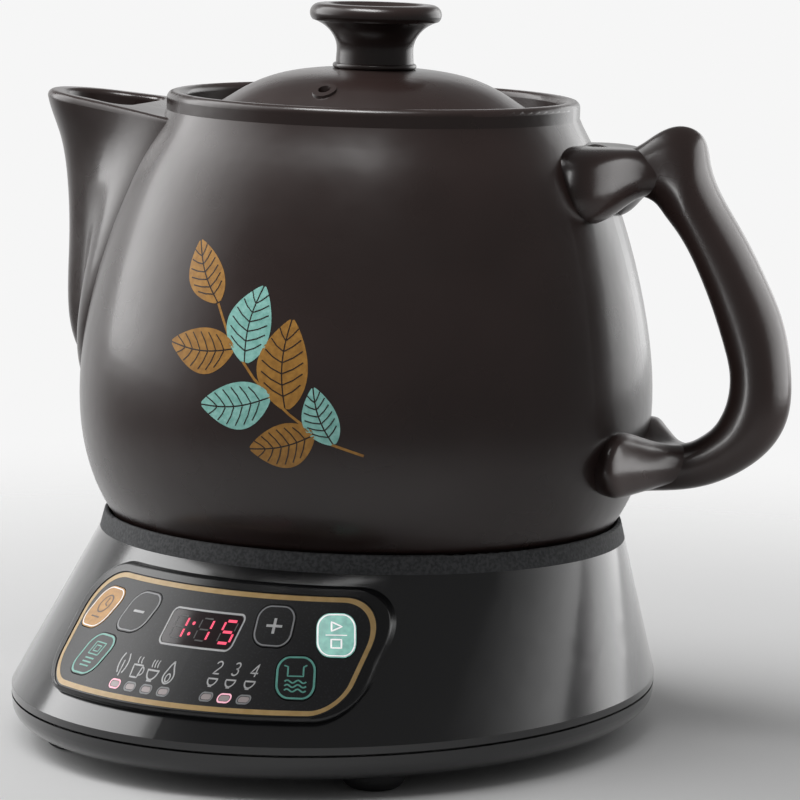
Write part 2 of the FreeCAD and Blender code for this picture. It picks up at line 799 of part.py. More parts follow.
def bottom_cover():
    top = band_low_z - part_gap
    outer = Part.makeLoft([base_section(crease_z, at=top), base_section(crease_z, -0.6, at=floor_z)], True, True)
    outer = rounded(outer, cover_round, lambda m, e: abs(m.z - floor_z) < 0.01)
    inner = Part.makeLoft([base_section(crease_z, -shell_wall, at=top + 1),
                           base_section(crease_z, -shell_wall - 1.2, at=floor_z + floor_t)], True, True)
    tongue_top = band_low_z + 2.4
    tongue = Part.makeLoft([base_section(crease_z, -shell_wall - seat_gap, at=floor_z + floor_t),
                            base_section(crease_z, -shell_wall - seat_gap, at=tongue_top)], True, True)
    tongue = tongue.cut(Part.makeLoft([base_section(crease_z, -2 * shell_wall, at=floor_z + floor_t),
                                       base_section(crease_z, -2 * shell_wall, at=tongue_top + 1)], True, True))
    cover = outer.cut(inner).fuse(tongue)
    posts = []
    for x in (-pcb_half_x + pcb_edge, pcb_half_x - pcb_edge):
        for y in (pcb_front_y + pcb_edge, pcb_back_y - pcb_edge):
            posts.append(cylinder(pcb_post_r, floor_z + 1, pcb_z, x, y))
    cover = cover.fuse(posts)
    cuts = []
    for x, y in boss_places():
        cuts.append(cylinder(screw_r + 0.3, floor_z - 1, floor_z + floor_t + 5, x, y))
        cuts.append(cylinder(screw_head_r + seat_gap, floor_z - 1, floor_z + 1.2, x, y))
    for x, y in foot_places():
        cuts.append(cylinder(foot_stem_r, floor_z - 1, floor_z + floor_t + 1, x, y))
    for i in range(7):
        x = (i - 3) * 9.0
        cuts.append(box(x - 1.5, x + 1.5, 10, 40, floor_z - 1, floor_z + floor_t + 1))
    return cover.cut(grouped(cuts)).removeSplitter()


def base_feet():
    feet = []
    for x, y in foot_places():
        rim = Part.Arc(V(foot_pad_flat_r, 0, 0), V(foot_pad_r - 1.3, 0, 1.9), V(foot_pad_r, 0, floor_z - 1.0)).toShape()
        foot = turned([
            line((0, 0), (foot_pad_flat_r, 0)),
            rim,
            line((foot_pad_r, floor_z - 1.0), (foot_pad_r, floor_z)),
            line((foot_pad_r, floor_z), (foot_stem_r, floor_z)),
            line((foot_stem_r, floor_z), (foot_stem_r, floor_z + foot_stem_h)),
            line((foot_stem_r, floor_z + foot_stem_h), (0, floor_z + foot_stem_h)),
            line((0, floor_z + foot_stem_h), (0, 0)),
        ])
        foot.translate(V(x, y, 0))
        feet.append(foot)
    return grouped(feet)


def cover_screws():
    screws = []
    for x, y in boss_places():
        head_low = floor_z + 1.2 - screw_head_t
        head = cylinder(screw_head_r, head_low, floor_z + 1.2, x, y)
        slot = box(x - 2, x + 2, y - 0.4, y + 0.4, head_low - 1, head_low + 0.9)
        cross = box(x - 0.4, x + 0.4, y - 2, y + 2, head_low - 1, head_low + 0.9)
        shank = cylinder(screw_r, floor_z + 1.2, floor_z + 14, x, y)
        screws.append(head.fuse(shank).cut(slot).cut(cross))
    return grouped(screws)


def top_ring():
    h0 = ring_z - pot_seat_z
    inner_low = deck_outer_r - 3.6
    crest = ring_crest_z - pot_seat_z
    middle = (h0 + crest) / 2 + 1.0
    inner = Part.BSplineCurve()
    inner.interpolate([V(inner_low, 0, ring_z),
                       V(max(wall_radius(middle) + ring_pot_gap, inner_low), 0, pot_seat_z + middle),
                       V(ring_crest_r - 0.8, 0, ring_crest_z - 0.6)])
    crest_arc = Part.Arc(V(ring_crest_r - 0.8, 0, ring_crest_z - 0.6), V(ring_crest_r, 0, ring_crest_z),
                         V(ring_crest_r + 0.8, 0, ring_crest_z - 0.8)).toShape()
    return turned([
        line((inner_low, ring_z), (ring_r, ring_z)),
        line((ring_r, ring_z), (ring_crest_r + 0.8, ring_crest_z - 0.8)),
        crest_arc,
        inner.toShape(),
    ])


# ---------------------------------------------------------------- heating parts
def plate_top():
    return pot_seat_z - seat_gap


def heating_dish():
    """Spun steel bowl between the ring and the plate, following the pot's lower corner."""
    centre = (foot_r, pot_seat_z + corner_r)
    near = corner_r + dish_gap
    far = near + dish_t
    deck = ring_z - rebate
    step_r = plate_r + seat_gap
    low = plate_top() - plate_t - dish_t

    def on_arc(radius, z):
        return centre[0] + math.sqrt(radius ** 2 - (centre[1] - z) ** 2)

    def arc(radius, r0, z1):
        z0 = centre[1] - math.sqrt(radius ** 2 - (r0 - centre[0]) ** 2)
        r1 = on_arc(radius, z1)
        zm = (z0 + z1) / 2 - 1.5
        return Part.Arc(V(r0, 0, z0), V(on_arc(radius, zm), 0, zm), V(r1, 0, z1)).toShape(), (r0, z0), (r1, z1)
    upper, up_start, up_end = arc(near, step_r, deck + dish_t)
    lower, low_start, low_end = arc(far, step_r + dish_t, deck)
    return turned([
        upper,
        line(up_end, (deck_outer_r - seat_gap, deck + dish_t)),
        line((deck_outer_r - seat_gap, deck + dish_t), (deck_outer_r - seat_gap, deck)),
        line((deck_outer_r - seat_gap, deck), low_end),
        lower,
        line(low_start, (step_r + dish_t, low)),
        line((step_r + dish_t, low), (plate_r - dish_lip, low)),
        line((plate_r - dish_lip, low), (plate_r - dish_lip, low + dish_t)),
        line((plate_r - dish_lip, low + dish_t), (step_r, low + dish_t)),
        line((step_r, low + dish_t), up_start),
    ])


def heating_plate():
    top = plate_top()
    plate = cylinder(plate_r, top - plate_t, top)
    plate = plate.cut(cylinder(sensor_hole_r, 0, 100))
    plate = rounded(plate, 1.0, lambda m, e: abs(m.z - top) < 0.01)
    for r in (26.0, 38.0, 50.0):
        groove = turned_outline([(r - 0.6, top - 0.6), (r + 0.6, top - 0.6), (r + 0.6, top + 1), (r - 0.6, top + 1)])
        plate = plate.cut(groove)
    return plate


def heating_element():
    z = plate_top() - plate_t - element_tube_r - seat_gap * 0.5
    open_half = math.radians(element_open_deg)

    def on_ring(a, dz=0.0):
        return V(element_r * math.sin(a), element_r * math.cos(a), z + dz)
    first, last = on_ring(open_half), on_ring(2 * math.pi - open_half)
    back_way = V(-math.cos(open_half), math.sin(open_half), 0)
    fore_way = V(math.cos(open_half), math.sin(open_half), 0)
    drop = V(0, 0, -1)
    s = 1 - math.sqrt(0.5)
    low_a = first + back_way * element_bend + drop * element_bend
    low_b = last + fore_way * element_bend + drop * element_bend
    mid_a = first + back_way * (element_bend * (1 - s)) + drop * (element_bend * s)
    mid_b = last + fore_way * (element_bend * (1 - s)) + drop * (element_bend * s)
    end_a = V(low_a.x, low_a.y, element_end_z)
    end_b = V(low_b.x, low_b.y, element_end_z)
    path = Part.Wire([
        Part.makeLine(end_a, low_a),
        Part.Arc(low_a, mid_a, first).toShape(),
        Part.Arc(first, on_ring(math.pi), last).toShape(),
        Part.Arc(last, mid_b, low_b).toShape(),
        Part.makeLine(low_b, end_b),
    ])
    section = Part.Wire([Part.makeCircle(element_tube_r, end_a, UP)])
    tube = path.makePipeShell([section], True, True)
    return tube, (end_a, end_b)


def terminal_tabs(ends):
    tabs = []
    for end in ends:
        stud = cylinder(2.0, end.z - 3, end.z, end.x, end.y)
        tab = box(end.x - tab_w / 2, end.x + tab_w / 2, end.y - tab_t / 2, end.y + tab_t / 2,
                  end.z - 3 - tab_h, end.z - 2)
        tabs.append(stud.fuse(tab))
    return grouped(tabs)


def heat_shield(ends):
    """Pressed pan under the plate that keeps the heat off the plastic."""
    dish_low = pot_seat_z + corner_r - math.sqrt((corner_r + dish_gap + dish_t) ** 2 - (shield_r - foot_r) ** 2)
    rim_z = dish_low - seat_gap
    pan = turned_outline([(shield_hole_r, shield_z), (shield_r, shield_z), (shield_r, rim_z),
                          (shield_r - shield_t, rim_z), (shield_r - shield_t, shield_z + shield_t),
                          (shield_hole_r, shield_z + shield_t)])
    for end in ends:
        pan = pan.cut(cylinder(element_tube_r + 1.5, shield_z - 2, shield_z + 3, end.x, end.y))
    return pan


def sensor_cap():
    top = plate_top()
    cap = turned_outline([(0, top - sensor_cap_t), (sensor_r - 1.0, top - sensor_cap_t),
                          (sensor_r - 1.0, top - sensor_skirt_h), (sensor_r, top - sensor_skirt_h),
                          (sensor_r, top), (0, top)])
    return rounded(cap, 0.8, lambda m, e: abs(m.z - top) < 0.01)


def sensor_cup():
    top = plate_top() - plate_t
    cup = turned_outline([
        (cup_hole_r, cup_floor_z), (cup_r, cup_floor_z), (cup_r, top - cup_t), (cup_flange_r, top - cup_t),
        (cup_flange_r, top), (cup_r - cup_t, top), (cup_r - cup_t, cup_floor_z + cup_t),
        (cup_hole_r, cup_floor_z + cup_t)])
    return cup


def sensor_spring():
    low = cup_floor_z + cup_t + spring_wire_r + 0.1
    high = plate_top() - sensor_cap_t - spring_wire_r - 0.1
    pitch = (high - low) / spring_turns
    helix = Part.makeHelix(pitch, pitch, spring_r)
    helix.translate(V(0, 0, low))
    start = helix.Edges[0].valueAt(helix.Edges[0].FirstParameter)
    section = Part.Wire([Part.makeCircle(spring_wire_r, start, V(0, 1, 0))])
    turn = Part.Wire(helix.Edges).makePipeShell([section], True, True)
    turns = [turn.translated(V(0, 0, pitch * i)) for i in range(spring_turns)]
    return turns[0].fuse(turns[1:])


def thermal_cutout():
    top = plate_top() - plate_t - seat_gap * 0.5
    x, y = 0.0, -cutout_place_r
    can = cylinder(cutout_r, top - cutout_t, top, x, y)
    brim = cylinder(cutout_r + 0.4, top - 1.2, top, x, y)
    tabs = [box(x + s * 4.4 - 0.4, x + s * 4.4 + 0.4, y - 3.1, y + 3.1, top - cutout_t - 4, top - cutout_t)
            for s in (-1, 1)]
    return can.fuse([brim] + tabs).removeSplitter()


def thermal_fuse():
    top = plate_top() - plate_t - seat_gap * 0.5
    body = Part.makeCylinder(2.0, 12.0, V(-6.0, cutout_place_r, top - 2.0), V(1, 0, 0))
    leads = Part.makeCylinder(0.5, 24.0, V(-12.0, cutout_place_r, top - 2.0), V(1, 0, 0))
    return body.fuse(leads)


# ---------------------------------------------------------------- control panel
def panel_bezel():
    """Raised frame on the slope: a pad with a shallow bed for the film, and holes for what works through it."""
    top = pad_rise + pad_lip
    pad = base_layer(0, top).common(front_prism(panel_outline(0)))
    pad = rounded(pad, bezel_round, lambda m, e: abs(m.y - slope_point(m.x, m.z, top)[0].y) < 0.2)
    bed = base_layer(pad_rise - film_t, pad_rise + 6).common(front_prism(panel_outline(bezel_w)))
    pad = pad.cut(bed)
    cuts = [key_outline(n, key_gap) for n in keys]
    cuts.append(front_prism(display_outline(-display_inset)))
    cuts += [front_prism(led_outline(x, key_gap * 0.4)) for x in led_places]
    pad = pad.cut(grouped_cut(cuts))
    pillars = []
    for x, z in pillar_places():
        pillars.append(pillar(x, z, pillar_r, board_drop, -0.8))
    return pad.fuse(pillars).removeSplitter()


def grouped_cut(shapes):
    whole = shapes[0]
    return whole.multiFuse(shapes[1:])


def pillar(x, z, r, depth, top):
    point, normal = slope_point(x, z)
    return Part.makeCylinder(r, depth - top, point - normal * depth, normal)


def pillar_places():
    return [(-22.0, 39.5), (22.0, 39.5), (-11.0, 58.8), (11.0, 58.8), (0.0, 36.5)]


def display_outline(grow):
    half_x, half_z = display_half_x + grow, display_half_z + grow
    return rounded_rectangle(display_x - half_x, display_x + half_x, display_z - half_z, display_z + half_z,
                             display_corner)


def led_outline(x, grow):
    return rounded_rectangle(x - led_half_x - grow, x + led_half_x + grow, led_z - led_half_z - grow,
                             led_z + led_half_z + grow, led_half_z + grow)


def panel_film():
    film = base_layer(pad_rise - film_t, pad_rise).common(front_prism(panel_outline(bezel_w + 0.1)))
    cuts = [key_outline(n, key_gap) for n in keys]
    cuts.append(front_prism(display_outline(0.05)))
    cuts += [front_prism(led_outline(x, key_gap * 0.4)) for x in led_places]
    return film.cut(grouped_cut(cuts))


def panel_key(name):
    body = base_layer(key_rise, pad_rise + key_rise, crease_z - 6).common(key_outline(name, 0))
    return body


def display_window():
    return base_layer(pad_rise - film_t, pad_rise).common(front_prism(display_outline(0)))


def display_module():
    block = base_layer(-board_drop, pad_rise - film_t - 0.1)
    return block.common(front_prism(display_outline(-display_inset - 0.3)))


def indicator_lights():
    layer = base_layer(-board_drop, pad_rise)
    return grouped([layer.common(front_prism(led_outline(x, 0))) for x in led_places])


def switch_board():
    layer = base_layer(-board_drop - board_t, -board_drop, crease_z - 6)
    return layer.common(front_prism(panel_outline(window_inset + seat_gap)))


def switch_domes():
    domes = []
    for name, (x, z) in keys.items():
        point, normal = slope_point(x, z)
        height = board_drop + key_rise - key_travel - seat_gap
        disc = Part.makeCylinder(dome_r, height, point - normal * board_drop, normal)
        cap = Part.makeCylinder(dome_r, height + 2, point - normal * (board_drop + 1), normal)
        domes.append(disc.common(cap).cut(base_layer(-board_drop - 3, -board_drop, crease_z - 6)))
    return grouped(domes)


# ---------------------------------------------------------------- power electronics and inlet
def power_board():
    board = box(-pcb_half_x, pcb_half_x, pcb_front_y, pcb_back_y, pcb_z, pcb_z + pcb_t)
    for x in (-pcb_half_x + pcb_edge, pcb_half_x - pcb_edge):
        for y in (pcb_front_y + pcb_edge, pcb_back_y - pcb_edge):
            board = board.cut(cylinder(1.4, pcb_z - 1, pcb_z + 5, x, y))
    return board


def on_board(x0, x1, y0, y1, h):
    top = pcb_z + pcb_t
    return box(x0, x1, y0, y1, top, top + h)


def transformer():
    core = on_board(-32, -10, -114, -94, 17)
    winding = box(-30.5, -11.5, -117, -91, pcb_z + pcb_t + 3, pcb_z + pcb_t + 14)
    return core.fuse(winding).removeSplitter()


def relay():
    return rounded(on_board(0, 19, -112, -96, 15), 0.8, lambda m, e: m.z > pcb_z + pcb_t + 14.9)


def board_parts():
    top = pcb_z + pcb_t
    parts = [
        cylinder(5.0, top, top + 14, 32, -92),
        cylinder(3.2, top, top + 8, 27, -108),
        on_board(36, 44, -113, -101, 10),
        on_board(-46, -37, -112, -92, 9),
        cylinder(6.0, top, top + 8, -18, -120 + 34),
    ]
    return grouped(parts[:4])


def buzzer():
    top = pcb_z + pcb_t
    can = cylinder(6.0, top, top + 8.5, 8, -88.5)
    return can.cut(cylinder(1.0, top + 6, top + 10, 8, -88.5))


def mains_inlet():
    """Socket block flush with the slope, with an upright face set into it."""
    block = inlet_block(0).common(slope_solid(crease_z - 3, ring_z + 3))
    mid_z = (inlet_low_z + inlet_high_z) / 2
    pocket = box(-inlet_half_x + inlet_lip, inlet_half_x - inlet_lip, inlet_face_y, inlet_face_y + 60,
                 inlet_low_z + inlet_lip, inlet_high_z - inlet_lip)
    socket = Part.Face(rounded_rectangle(-socket_half_x, socket_half_x, mid_z - socket_half_z,
                                         mid_z + socket_half_z, 3.0)).extrude(V(0, socket_depth + 1, 0))
    socket.translate(V(0, inlet_face_y - socket_depth, 0))
    block = block.cut(pocket).cut(socket)
    return block


def inlet_pins():
    mid_z = (inlet_low_z + inlet_high_z) / 2
    pins = []
    for x, dz in ((-pin_pitch, -pin_drop), (0, pin_drop), (pin_pitch, -pin_drop)):
        pins.append(box(x - pin_half_t, x + pin_half_t, inlet_face_y - socket_depth, inlet_face_y - 3,
                        mid_z + dz - pin_half_w, mid_z + dz + pin_half_w))
    return grouped(pins)


# ---------------------------------------------------------------- build and write
def build():
    element, ends = heating_element()
    shapes = {
        "pot_floor": pot_floor_piece(),
        "pot_body": pot_body(),
        "pot_ledge": pot_ledge(),
        "pot_spout": pot_spout(),
        "pot_handle": pot_handle(),
        "lid": lid(),
        "lid_knob": lid_knob(),
        "base_housing": base_housing(),
        "bottom_cover": bottom_cover(),
        "base_feet": base_feet(),
        "cover_screws": cover_screws(),
        "top_ring": top_ring(),
        "heating_dish": heating_dish(),
        "heating_plate": heating_plate(),
        "heating_element": element,
        "element_terminals": terminal_tabs(ends),
        "heat_shield": heat_shield(ends),
        "sensor_cap": sensor_cap(),
        "sensor_cup": sensor_cup(),
        "sensor_spring": sensor_spring(),
        "thermal_cutout": thermal_cutout(),
        "thermal_fuse": thermal_fuse(),
        "panel_bezel": panel_bezel(),
        "panel_film": panel_film(),
        "display_window": display_window(),
        "display_module": display_module(),
        "indicator_lights": indicator_lights(),
        "switch_board": switch_board(),
        "switch_domes": switch_domes(),
        "power_board": power_board(),
        "transformer": transformer(),
        "relay": relay(),
        "board_parts": board_parts(),
        "buzzer": buzzer(),
        "mains_inlet": mains_inlet(),
        "inlet_pins": inlet_pins(),
    }
    for name in keys:
        shapes[name] = panel_key(name)
    return shapes


def write(shapes):
    """Moves the model so that the origin is the middle of its footprint, and writes one file a piece."""
    whole = FreeCAD.BoundBox()
    for name in ("base_housing", "base_feet", "pot_handle", "pot_spout", "lid_knob"):
        whole.add(shapes[name].optimalBoundingBox(False, False))
    shift = V(-(whole.XMin + whole.XMax) / 2, -(whole.YMin + whole.YMax) / 2, 0)
    os.makedirs("parts", exist_ok=True)
    for name, shape in shapes.items():
        shape.translate(shift)
        shape.exportStep("parts/" + name + ".step")
        print(name, "solids", len(shape.Solids), "valid", shape.isValid(), "volume", round(shape.Volume))
    print("shift", round(shift.x, 3), round(shift.y, 3))
    print("size", round(whole.XLength, 1), round(whole.YLength, 1), round(whole.ZLength, 1))


write(build())
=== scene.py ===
# %% [markdown]
# # An electric herbal medicine pot
# A stoneware pot with a beak spout and a drop-in lid stands on an oval heating base.
# The solid model is loaded first, as a fixed frame. This script adds what the solids leave out:
# the prints on the glaze and on the control panel, and a surface for every piece.

# %% Load the frame
import json
import math

import bpy
import bmesh
from mathutils import Matrix, Vector

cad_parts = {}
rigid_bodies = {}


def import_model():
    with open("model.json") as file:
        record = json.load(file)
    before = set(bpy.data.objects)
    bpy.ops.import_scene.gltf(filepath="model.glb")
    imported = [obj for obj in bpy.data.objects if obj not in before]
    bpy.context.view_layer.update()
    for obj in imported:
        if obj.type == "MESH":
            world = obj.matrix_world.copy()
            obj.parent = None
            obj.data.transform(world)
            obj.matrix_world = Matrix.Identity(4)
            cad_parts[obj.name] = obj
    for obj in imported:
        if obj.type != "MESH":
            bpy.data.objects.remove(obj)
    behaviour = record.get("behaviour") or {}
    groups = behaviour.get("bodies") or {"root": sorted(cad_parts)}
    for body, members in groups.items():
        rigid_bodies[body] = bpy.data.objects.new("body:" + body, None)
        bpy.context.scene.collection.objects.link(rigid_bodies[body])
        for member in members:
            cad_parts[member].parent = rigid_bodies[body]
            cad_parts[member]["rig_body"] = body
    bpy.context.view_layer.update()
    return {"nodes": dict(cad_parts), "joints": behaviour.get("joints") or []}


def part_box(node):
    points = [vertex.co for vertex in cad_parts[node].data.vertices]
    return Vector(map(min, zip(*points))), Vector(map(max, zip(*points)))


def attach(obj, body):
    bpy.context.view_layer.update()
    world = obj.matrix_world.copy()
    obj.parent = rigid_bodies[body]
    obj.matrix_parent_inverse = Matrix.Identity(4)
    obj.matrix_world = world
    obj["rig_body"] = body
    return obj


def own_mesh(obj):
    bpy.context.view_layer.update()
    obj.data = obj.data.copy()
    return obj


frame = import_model()
nodes = frame["nodes"]

# %% [markdown]
# The pot and its base share one upright axis, which isn't the middle of the footprint.
# The top ring is round about that axis, so the middle of its box gives the place. The camera,
# the lamps and most prints are set out from there.

# %% Axis and units
MM = 0.001


def middle(node):
    low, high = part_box(node)
    return (Vector(low) + Vector(high)) / 2


axis = middle("top_ring")
axis_x, axis_y = axis.x, axis.y
seat_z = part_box("pot_floor")[0][2]
print("axis at", round(axis_x, 4), round(axis_y, 4), "pot stands at", round(seat_z, 4))

# %% [markdown]
# The camera looks from the front right and slightly down, through a long lens, as for a
# catalogue picture. A long lens keeps upright lines upright. The view is given by the point
# looked at, two angles, a distance and a small roll, and by how far that point lies from the
# middle of the picture.

# %% View
view_azimuth = math.radians(26.184)
view_elevation = math.radians(6.569)
view_distance = 1.5344
view_roll = math.radians(1.479)
view_target = Vector((axis_x, axis_y, 0.150))
focal_px = 4290.4
picture_px = 800
sensor_mm = 36
aim_right_px, aim_down_px = 31.5, 98.75
print("lens", round(focal_px * sensor_mm / picture_px, 1), "mm")

# %% [markdown]
# Three directions fix how a camera is turned: right, up and ahead. They are worked out as
# vectors here, which takes in the small roll and the shift of the target in one go.

# %% Which way the camera looks
back = Vector((math.sin(view_azimuth) * math.cos(view_elevation),
               -math.cos(view_azimuth) * math.cos(view_elevation), math.sin(view_elevation)))
level_right = Vector((math.cos(view_azimuth), math.sin(view_azimuth), 0))
level_up = level_right.cross(-back)
right = level_right * math.cos(view_roll) + level_up * math.sin(view_roll)
up = level_up * math.cos(view_roll) - level_right * math.sin(view_roll)
ahead = (-back * focal_px + right * aim_right_px - up * aim_down_px).normalized()
right = (right - ahead * right.dot(ahead)).normalized()
up = right.cross(ahead)
print("looks along", [round(c, 3) for c in ahead])

# %% Add the camera
bpy.ops.object.camera_add(location=view_target + back * view_distance)
camera = bpy.context.object
camera.name = "camera"
camera.data.sensor_width = sensor_mm
camera.data.lens = focal_px * sensor_mm / picture_px
camera.data.clip_start, camera.data.clip_end = 0.05, 20
turn = Matrix((right, up, -ahead)).transposed()
camera.rotation_mode = "QUATERNION"
camera.rotation_quaternion = turn.to_quaternion()
bpy.context.scene.camera = camera
print("camera at", [round(c, 3) for c in camera.location])

# %% [markdown]
# Materials are made of nodes. Most pieces need the same few things: a base colour, a little
# colour variation, a roughness that isn't quite even, and a fine bump. One helper builds that,
# and each finish below only states its own numbers.

# %% Colours as on the screen


def linear(hex_code):
    """The linear colour of a colour written as on the screen."""
    parts = [int(hex_code[i:i + 2], 16) / 255 for i in (0, 2, 4)]
    return [p / 12.92 if p <= 0.04045 else ((p + 0.055) / 1.055) ** 2.4 for p in parts] + [1.0]


print("middle grey is", round(linear("808080")[0], 3), "as linear light")

# %% A finish, put together node by node


class Finish:
    """A material being put together node by node."""

    def __init__(self, name, colour, roughness=0.4, metallic=0.0, **sockets):
        self.material = bpy.data.materials.new(name)
        self.material.use_nodes = True
        self.tree = self.material.node_tree
        self.shader = self.tree.nodes["Principled BSDF"]
        self.shader.inputs["Base Color"].default_value = colour
        self.shader.inputs["Roughness"].default_value = roughness
        self.shader.inputs["Metallic"].default_value = metallic
        for key, value in sockets.items():
            self.shader.inputs[key.replace("_", " ")].default_value = value

    def node(self, kind, **values):
        made = self.tree.nodes.new(kind)
        for key, value in values.items():
            if hasattr(made, key):
                setattr(made, key, value)
            else:
                made.inputs[key.replace("_", " ")].default_value = value
        return made

    def link(self, a, b):
        self.tree.links.new(a, b)

    def place(self):
        if not hasattr(self, "coordinates"):
            self.coordinates = self.node("ShaderNodeTexCoord")
        return self.coordinates.outputs["Object"]

    def noise(self, scale, detail=2.0, stretch=(1, 1, 1)):
        mapping = self.node("ShaderNodeMapping")
        mapping.inputs["Scale"].default_value = stretch
        self.link(self.place(), mapping.inputs["Vector"])
        noise = self.node("ShaderNodeTexNoise", Scale=scale, Detail=detail)
        self.link(mapping.outputs["Vector"], noise.inputs["Vector"])
        return noise.outputs["Fac"]

    def spread(self, value, low, high, start=0.3, end=0.7):
        ranged = self.node("ShaderNodeMapRange")
        for key, number in zip(("From Min", "From Max", "To Min", "To Max"), (start, end, low, high)):
            ranged.inputs[key].default_value = number
        self.link(value, ranged.inputs["Value"])
        return ranged.outputs["Result"]

    def vary_colour(self, other, scale, start=0.35, end=0.65, detail=2.0):
        """Clouds the base colour with another one."""
        mix = self.node("ShaderNodeMix", data_type="RGBA")
        mix.inputs["A"].default_value = self.shader.inputs["Base Color"].default_value
        mix.inputs["B"].default_value = other
        clouds = self.spread(self.noise(scale, detail), 0, 1, start, end)
        self.link(clouds, mix.inputs["Factor"])
        self.link(mix.outputs["Result"], self.shader.inputs["Base Color"])

    def vary_roughness(self, low, high, scale):
        """Lets the roughness wander between two values."""
        clouds = self.spread(self.noise(scale, detail=3.0), low, high)
        self.link(clouds, self.shader.inputs["Roughness"])

    def bump(self, scale, height, stretch=(1, 1, 1)):
        """A bump of a real height, in metres."""
        bump = self.node("ShaderNodeBump", Strength=1.0, Distance=height)
        self.link(self.noise(scale, stretch=stretch), bump.inputs["Height"])
        self.link(bump.outputs["Normal"], self.shader.inputs["Normal"])


# %% Give a finish to pieces


def paint(finish, *names):
    """Gives one finish to CAD nodes or new pieces."""
    for name in names:
        piece = nodes[name] if isinstance(name, str) else name
        piece.data.materials.clear()
        piece.data.materials.append(finish.material)
    print(finish.material.name, "on", len(names), "piece(s)")


# %% [markdown]
# The pot, its lid and the knob are stoneware under a dark brown glaze. A glaze is a thin
# layer of glass on a slightly uneven clay body, so the colour clouds a little, the gloss is
# soft, and a faint orange-peel bump breaks up the reflections.

# %% Glaze
glaze = Finish("brown_glaze", linear("2b201e"), roughness=0.3, Coat_Weight=0.15, Coat_Roughness=0.1)
glaze.vary_colour(linear("241a18"), scale=18)
glaze.vary_roughness(0.25, 0.33, scale=30)
glaze.bump(scale=60, height=0.00018)
paint(glaze, "pot_body", "pot_floor", "pot_ledge", "pot_spout", "pot_handle", "lid", "lid_knob")

# %% [markdown]
# The base is gloss black plastic. It shows the light as clear, wide bands. The top ring is
# moulded separately, with a fine matt grain that hides rubbing by the pot, and the feet are
# rubber. A grain this fine is a bump, and on the ring a clouded colour too, because modelling
# it would take far too many faces.

# %% Plastics and rubber
gloss_black = Finish("gloss_black", linear("131315"), roughness=0.2, Coat_Weight=0.5, Coat_Roughness=0.12)
gloss_black.vary_roughness(0.14, 0.2, scale=24)
gloss_black.bump(scale=35, height=0.00006)
paint(gloss_black, "base_housing", "bottom_cover")

matt_ring = Finish("matt_ring", linear("48494b"), roughness=0.75)
matt_ring.vary_colour(linear("303133"), scale=900, detail=1.0)
matt_ring.bump(scale=1400, height=0.00008)
paint(matt_ring, "top_ring")

bezel_black = Finish("bezel_black", linear("0e0e10"), roughness=0.22)
bezel_black.vary_roughness(0.2, 0.27, scale=40)
paint(bezel_black, "panel_bezel")

rubber = Finish("rubber", linear("1c1c1d"), roughness=0.75)
rubber.bump(scale=500, height=0.00006)
paint(rubber, "base_feet")

# %% [markdown]
# What heats the pot shows only when the pot is lifted off, and the parts under the plate not
# even then. The dish and the sensor's cap are brushed steel, the plate is cast, the shield and
# the cup are pressed sheet, and the element has the brown tint of steel that has been hot.
# Metals need little more than a colour, a roughness and a metallic value of 1, since what they
# mirror does the rest.

# %% Metals of the heater and its sensor
steel = Finish("brushed_steel", linear("b4b4b3"), roughness=0.32, metallic=1.0)
steel.bump(scale=260, height=0.00003, stretch=(1, 1, 12))
paint(steel, "heating_dish", "sensor_cap", "switch_domes", "element_terminals")

screw_zinc = Finish("screw_zinc", linear("9a9b9d"), roughness=0.4, metallic=1.0)
screw_zinc.vary_roughness(0.35, 0.5, scale=300)
paint(screw_zinc, "cover_screws")

cast_plate = Finish("cast_plate", linear("a9aaab"), roughness=0.45, metallic=1.0)
cast_plate.bump(scale=420, height=0.00005)
paint(cast_plate, "heating_plate")

sheet_metal = Finish("pressed_sheet", linear("c0c1c2"), roughness=0.35, metallic=1.0)
sheet_metal.vary_roughness(0.3, 0.45, scale=120)
paint(sheet_metal, "heat_shield", "sensor_cup")

spring_wire = Finish("spring_wire", linear("b9bcc0"), roughness=0.22, metallic=1.0)
spring_wire.vary_roughness(0.18, 0.3, scale=400)
paint(spring_wire, "sensor_spring")

heat_tinted = Finish("heat_tinted", linear("6d6660"), roughness=0.5, metallic=1.0)
heat_tinted.vary_colour(linear("54484a"), scale=60)
paint(heat_tinted, "heating_element")

phenolic = Finish("phenolic", linear("b9a98c"), roughness=0.6)
phenolic.vary_colour(linear("a89678"), scale=300)
paint(phenolic, "thermal_cutout")

brass = Finish("plated_brass", linear("c8a865"), roughness=0.3, metallic=1.0)
brass.vary_roughness(0.25, 0.4, scale=300)
paint(brass, "thermal_fuse", "inlet_pins")

# %% [markdown]
# The boards, the transformer and the relay are closed in, and of the moulded parts only the
# mains inlet shows. All get the plain colours that such parts have, for a look inside the base.

# %% Boards and what is on them
solder_mask = Finish("solder_mask", linear("1f5a38"), roughness=0.35)
solder_mask.vary_colour(linear("2c6b45"), scale=220, detail=0.0)
paint(solder_mask, "switch_board", "power_board")

laminate = Finish("laminated_iron", linear("4a4b4f"), roughness=0.45, metallic=0.6)
laminate.bump(scale=700, height=0.0001, stretch=(0.02, 1, 0.02))
paint(laminate, "transformer")

relay_blue = Finish("relay_blue", linear("1d3f6e"), roughness=0.4)
relay_blue.vary_roughness(0.35, 0.5, scale=200)
paint(relay_blue, "relay")

moulded_dark = Finish("moulded_dark", linear("1d1d20"), roughness=0.5)
moulded_dark.bump(scale=600, height=0.00004)
paint(moulded_dark, "board_parts", "buzzer", "mains_inlet")

# %% [markdown]
# The sensor in the middle of the plate can be pushed down, and the coil spring under its cap then
# shortens by as much. Here the spring only gets a mesh of its own, so that squashing it would change no
# other piece; this script doesn't squash it. The joint's own limit says how far the sensor goes.

# %% The spring under the sensor
spring = nodes["sensor_spring"]
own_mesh(spring)

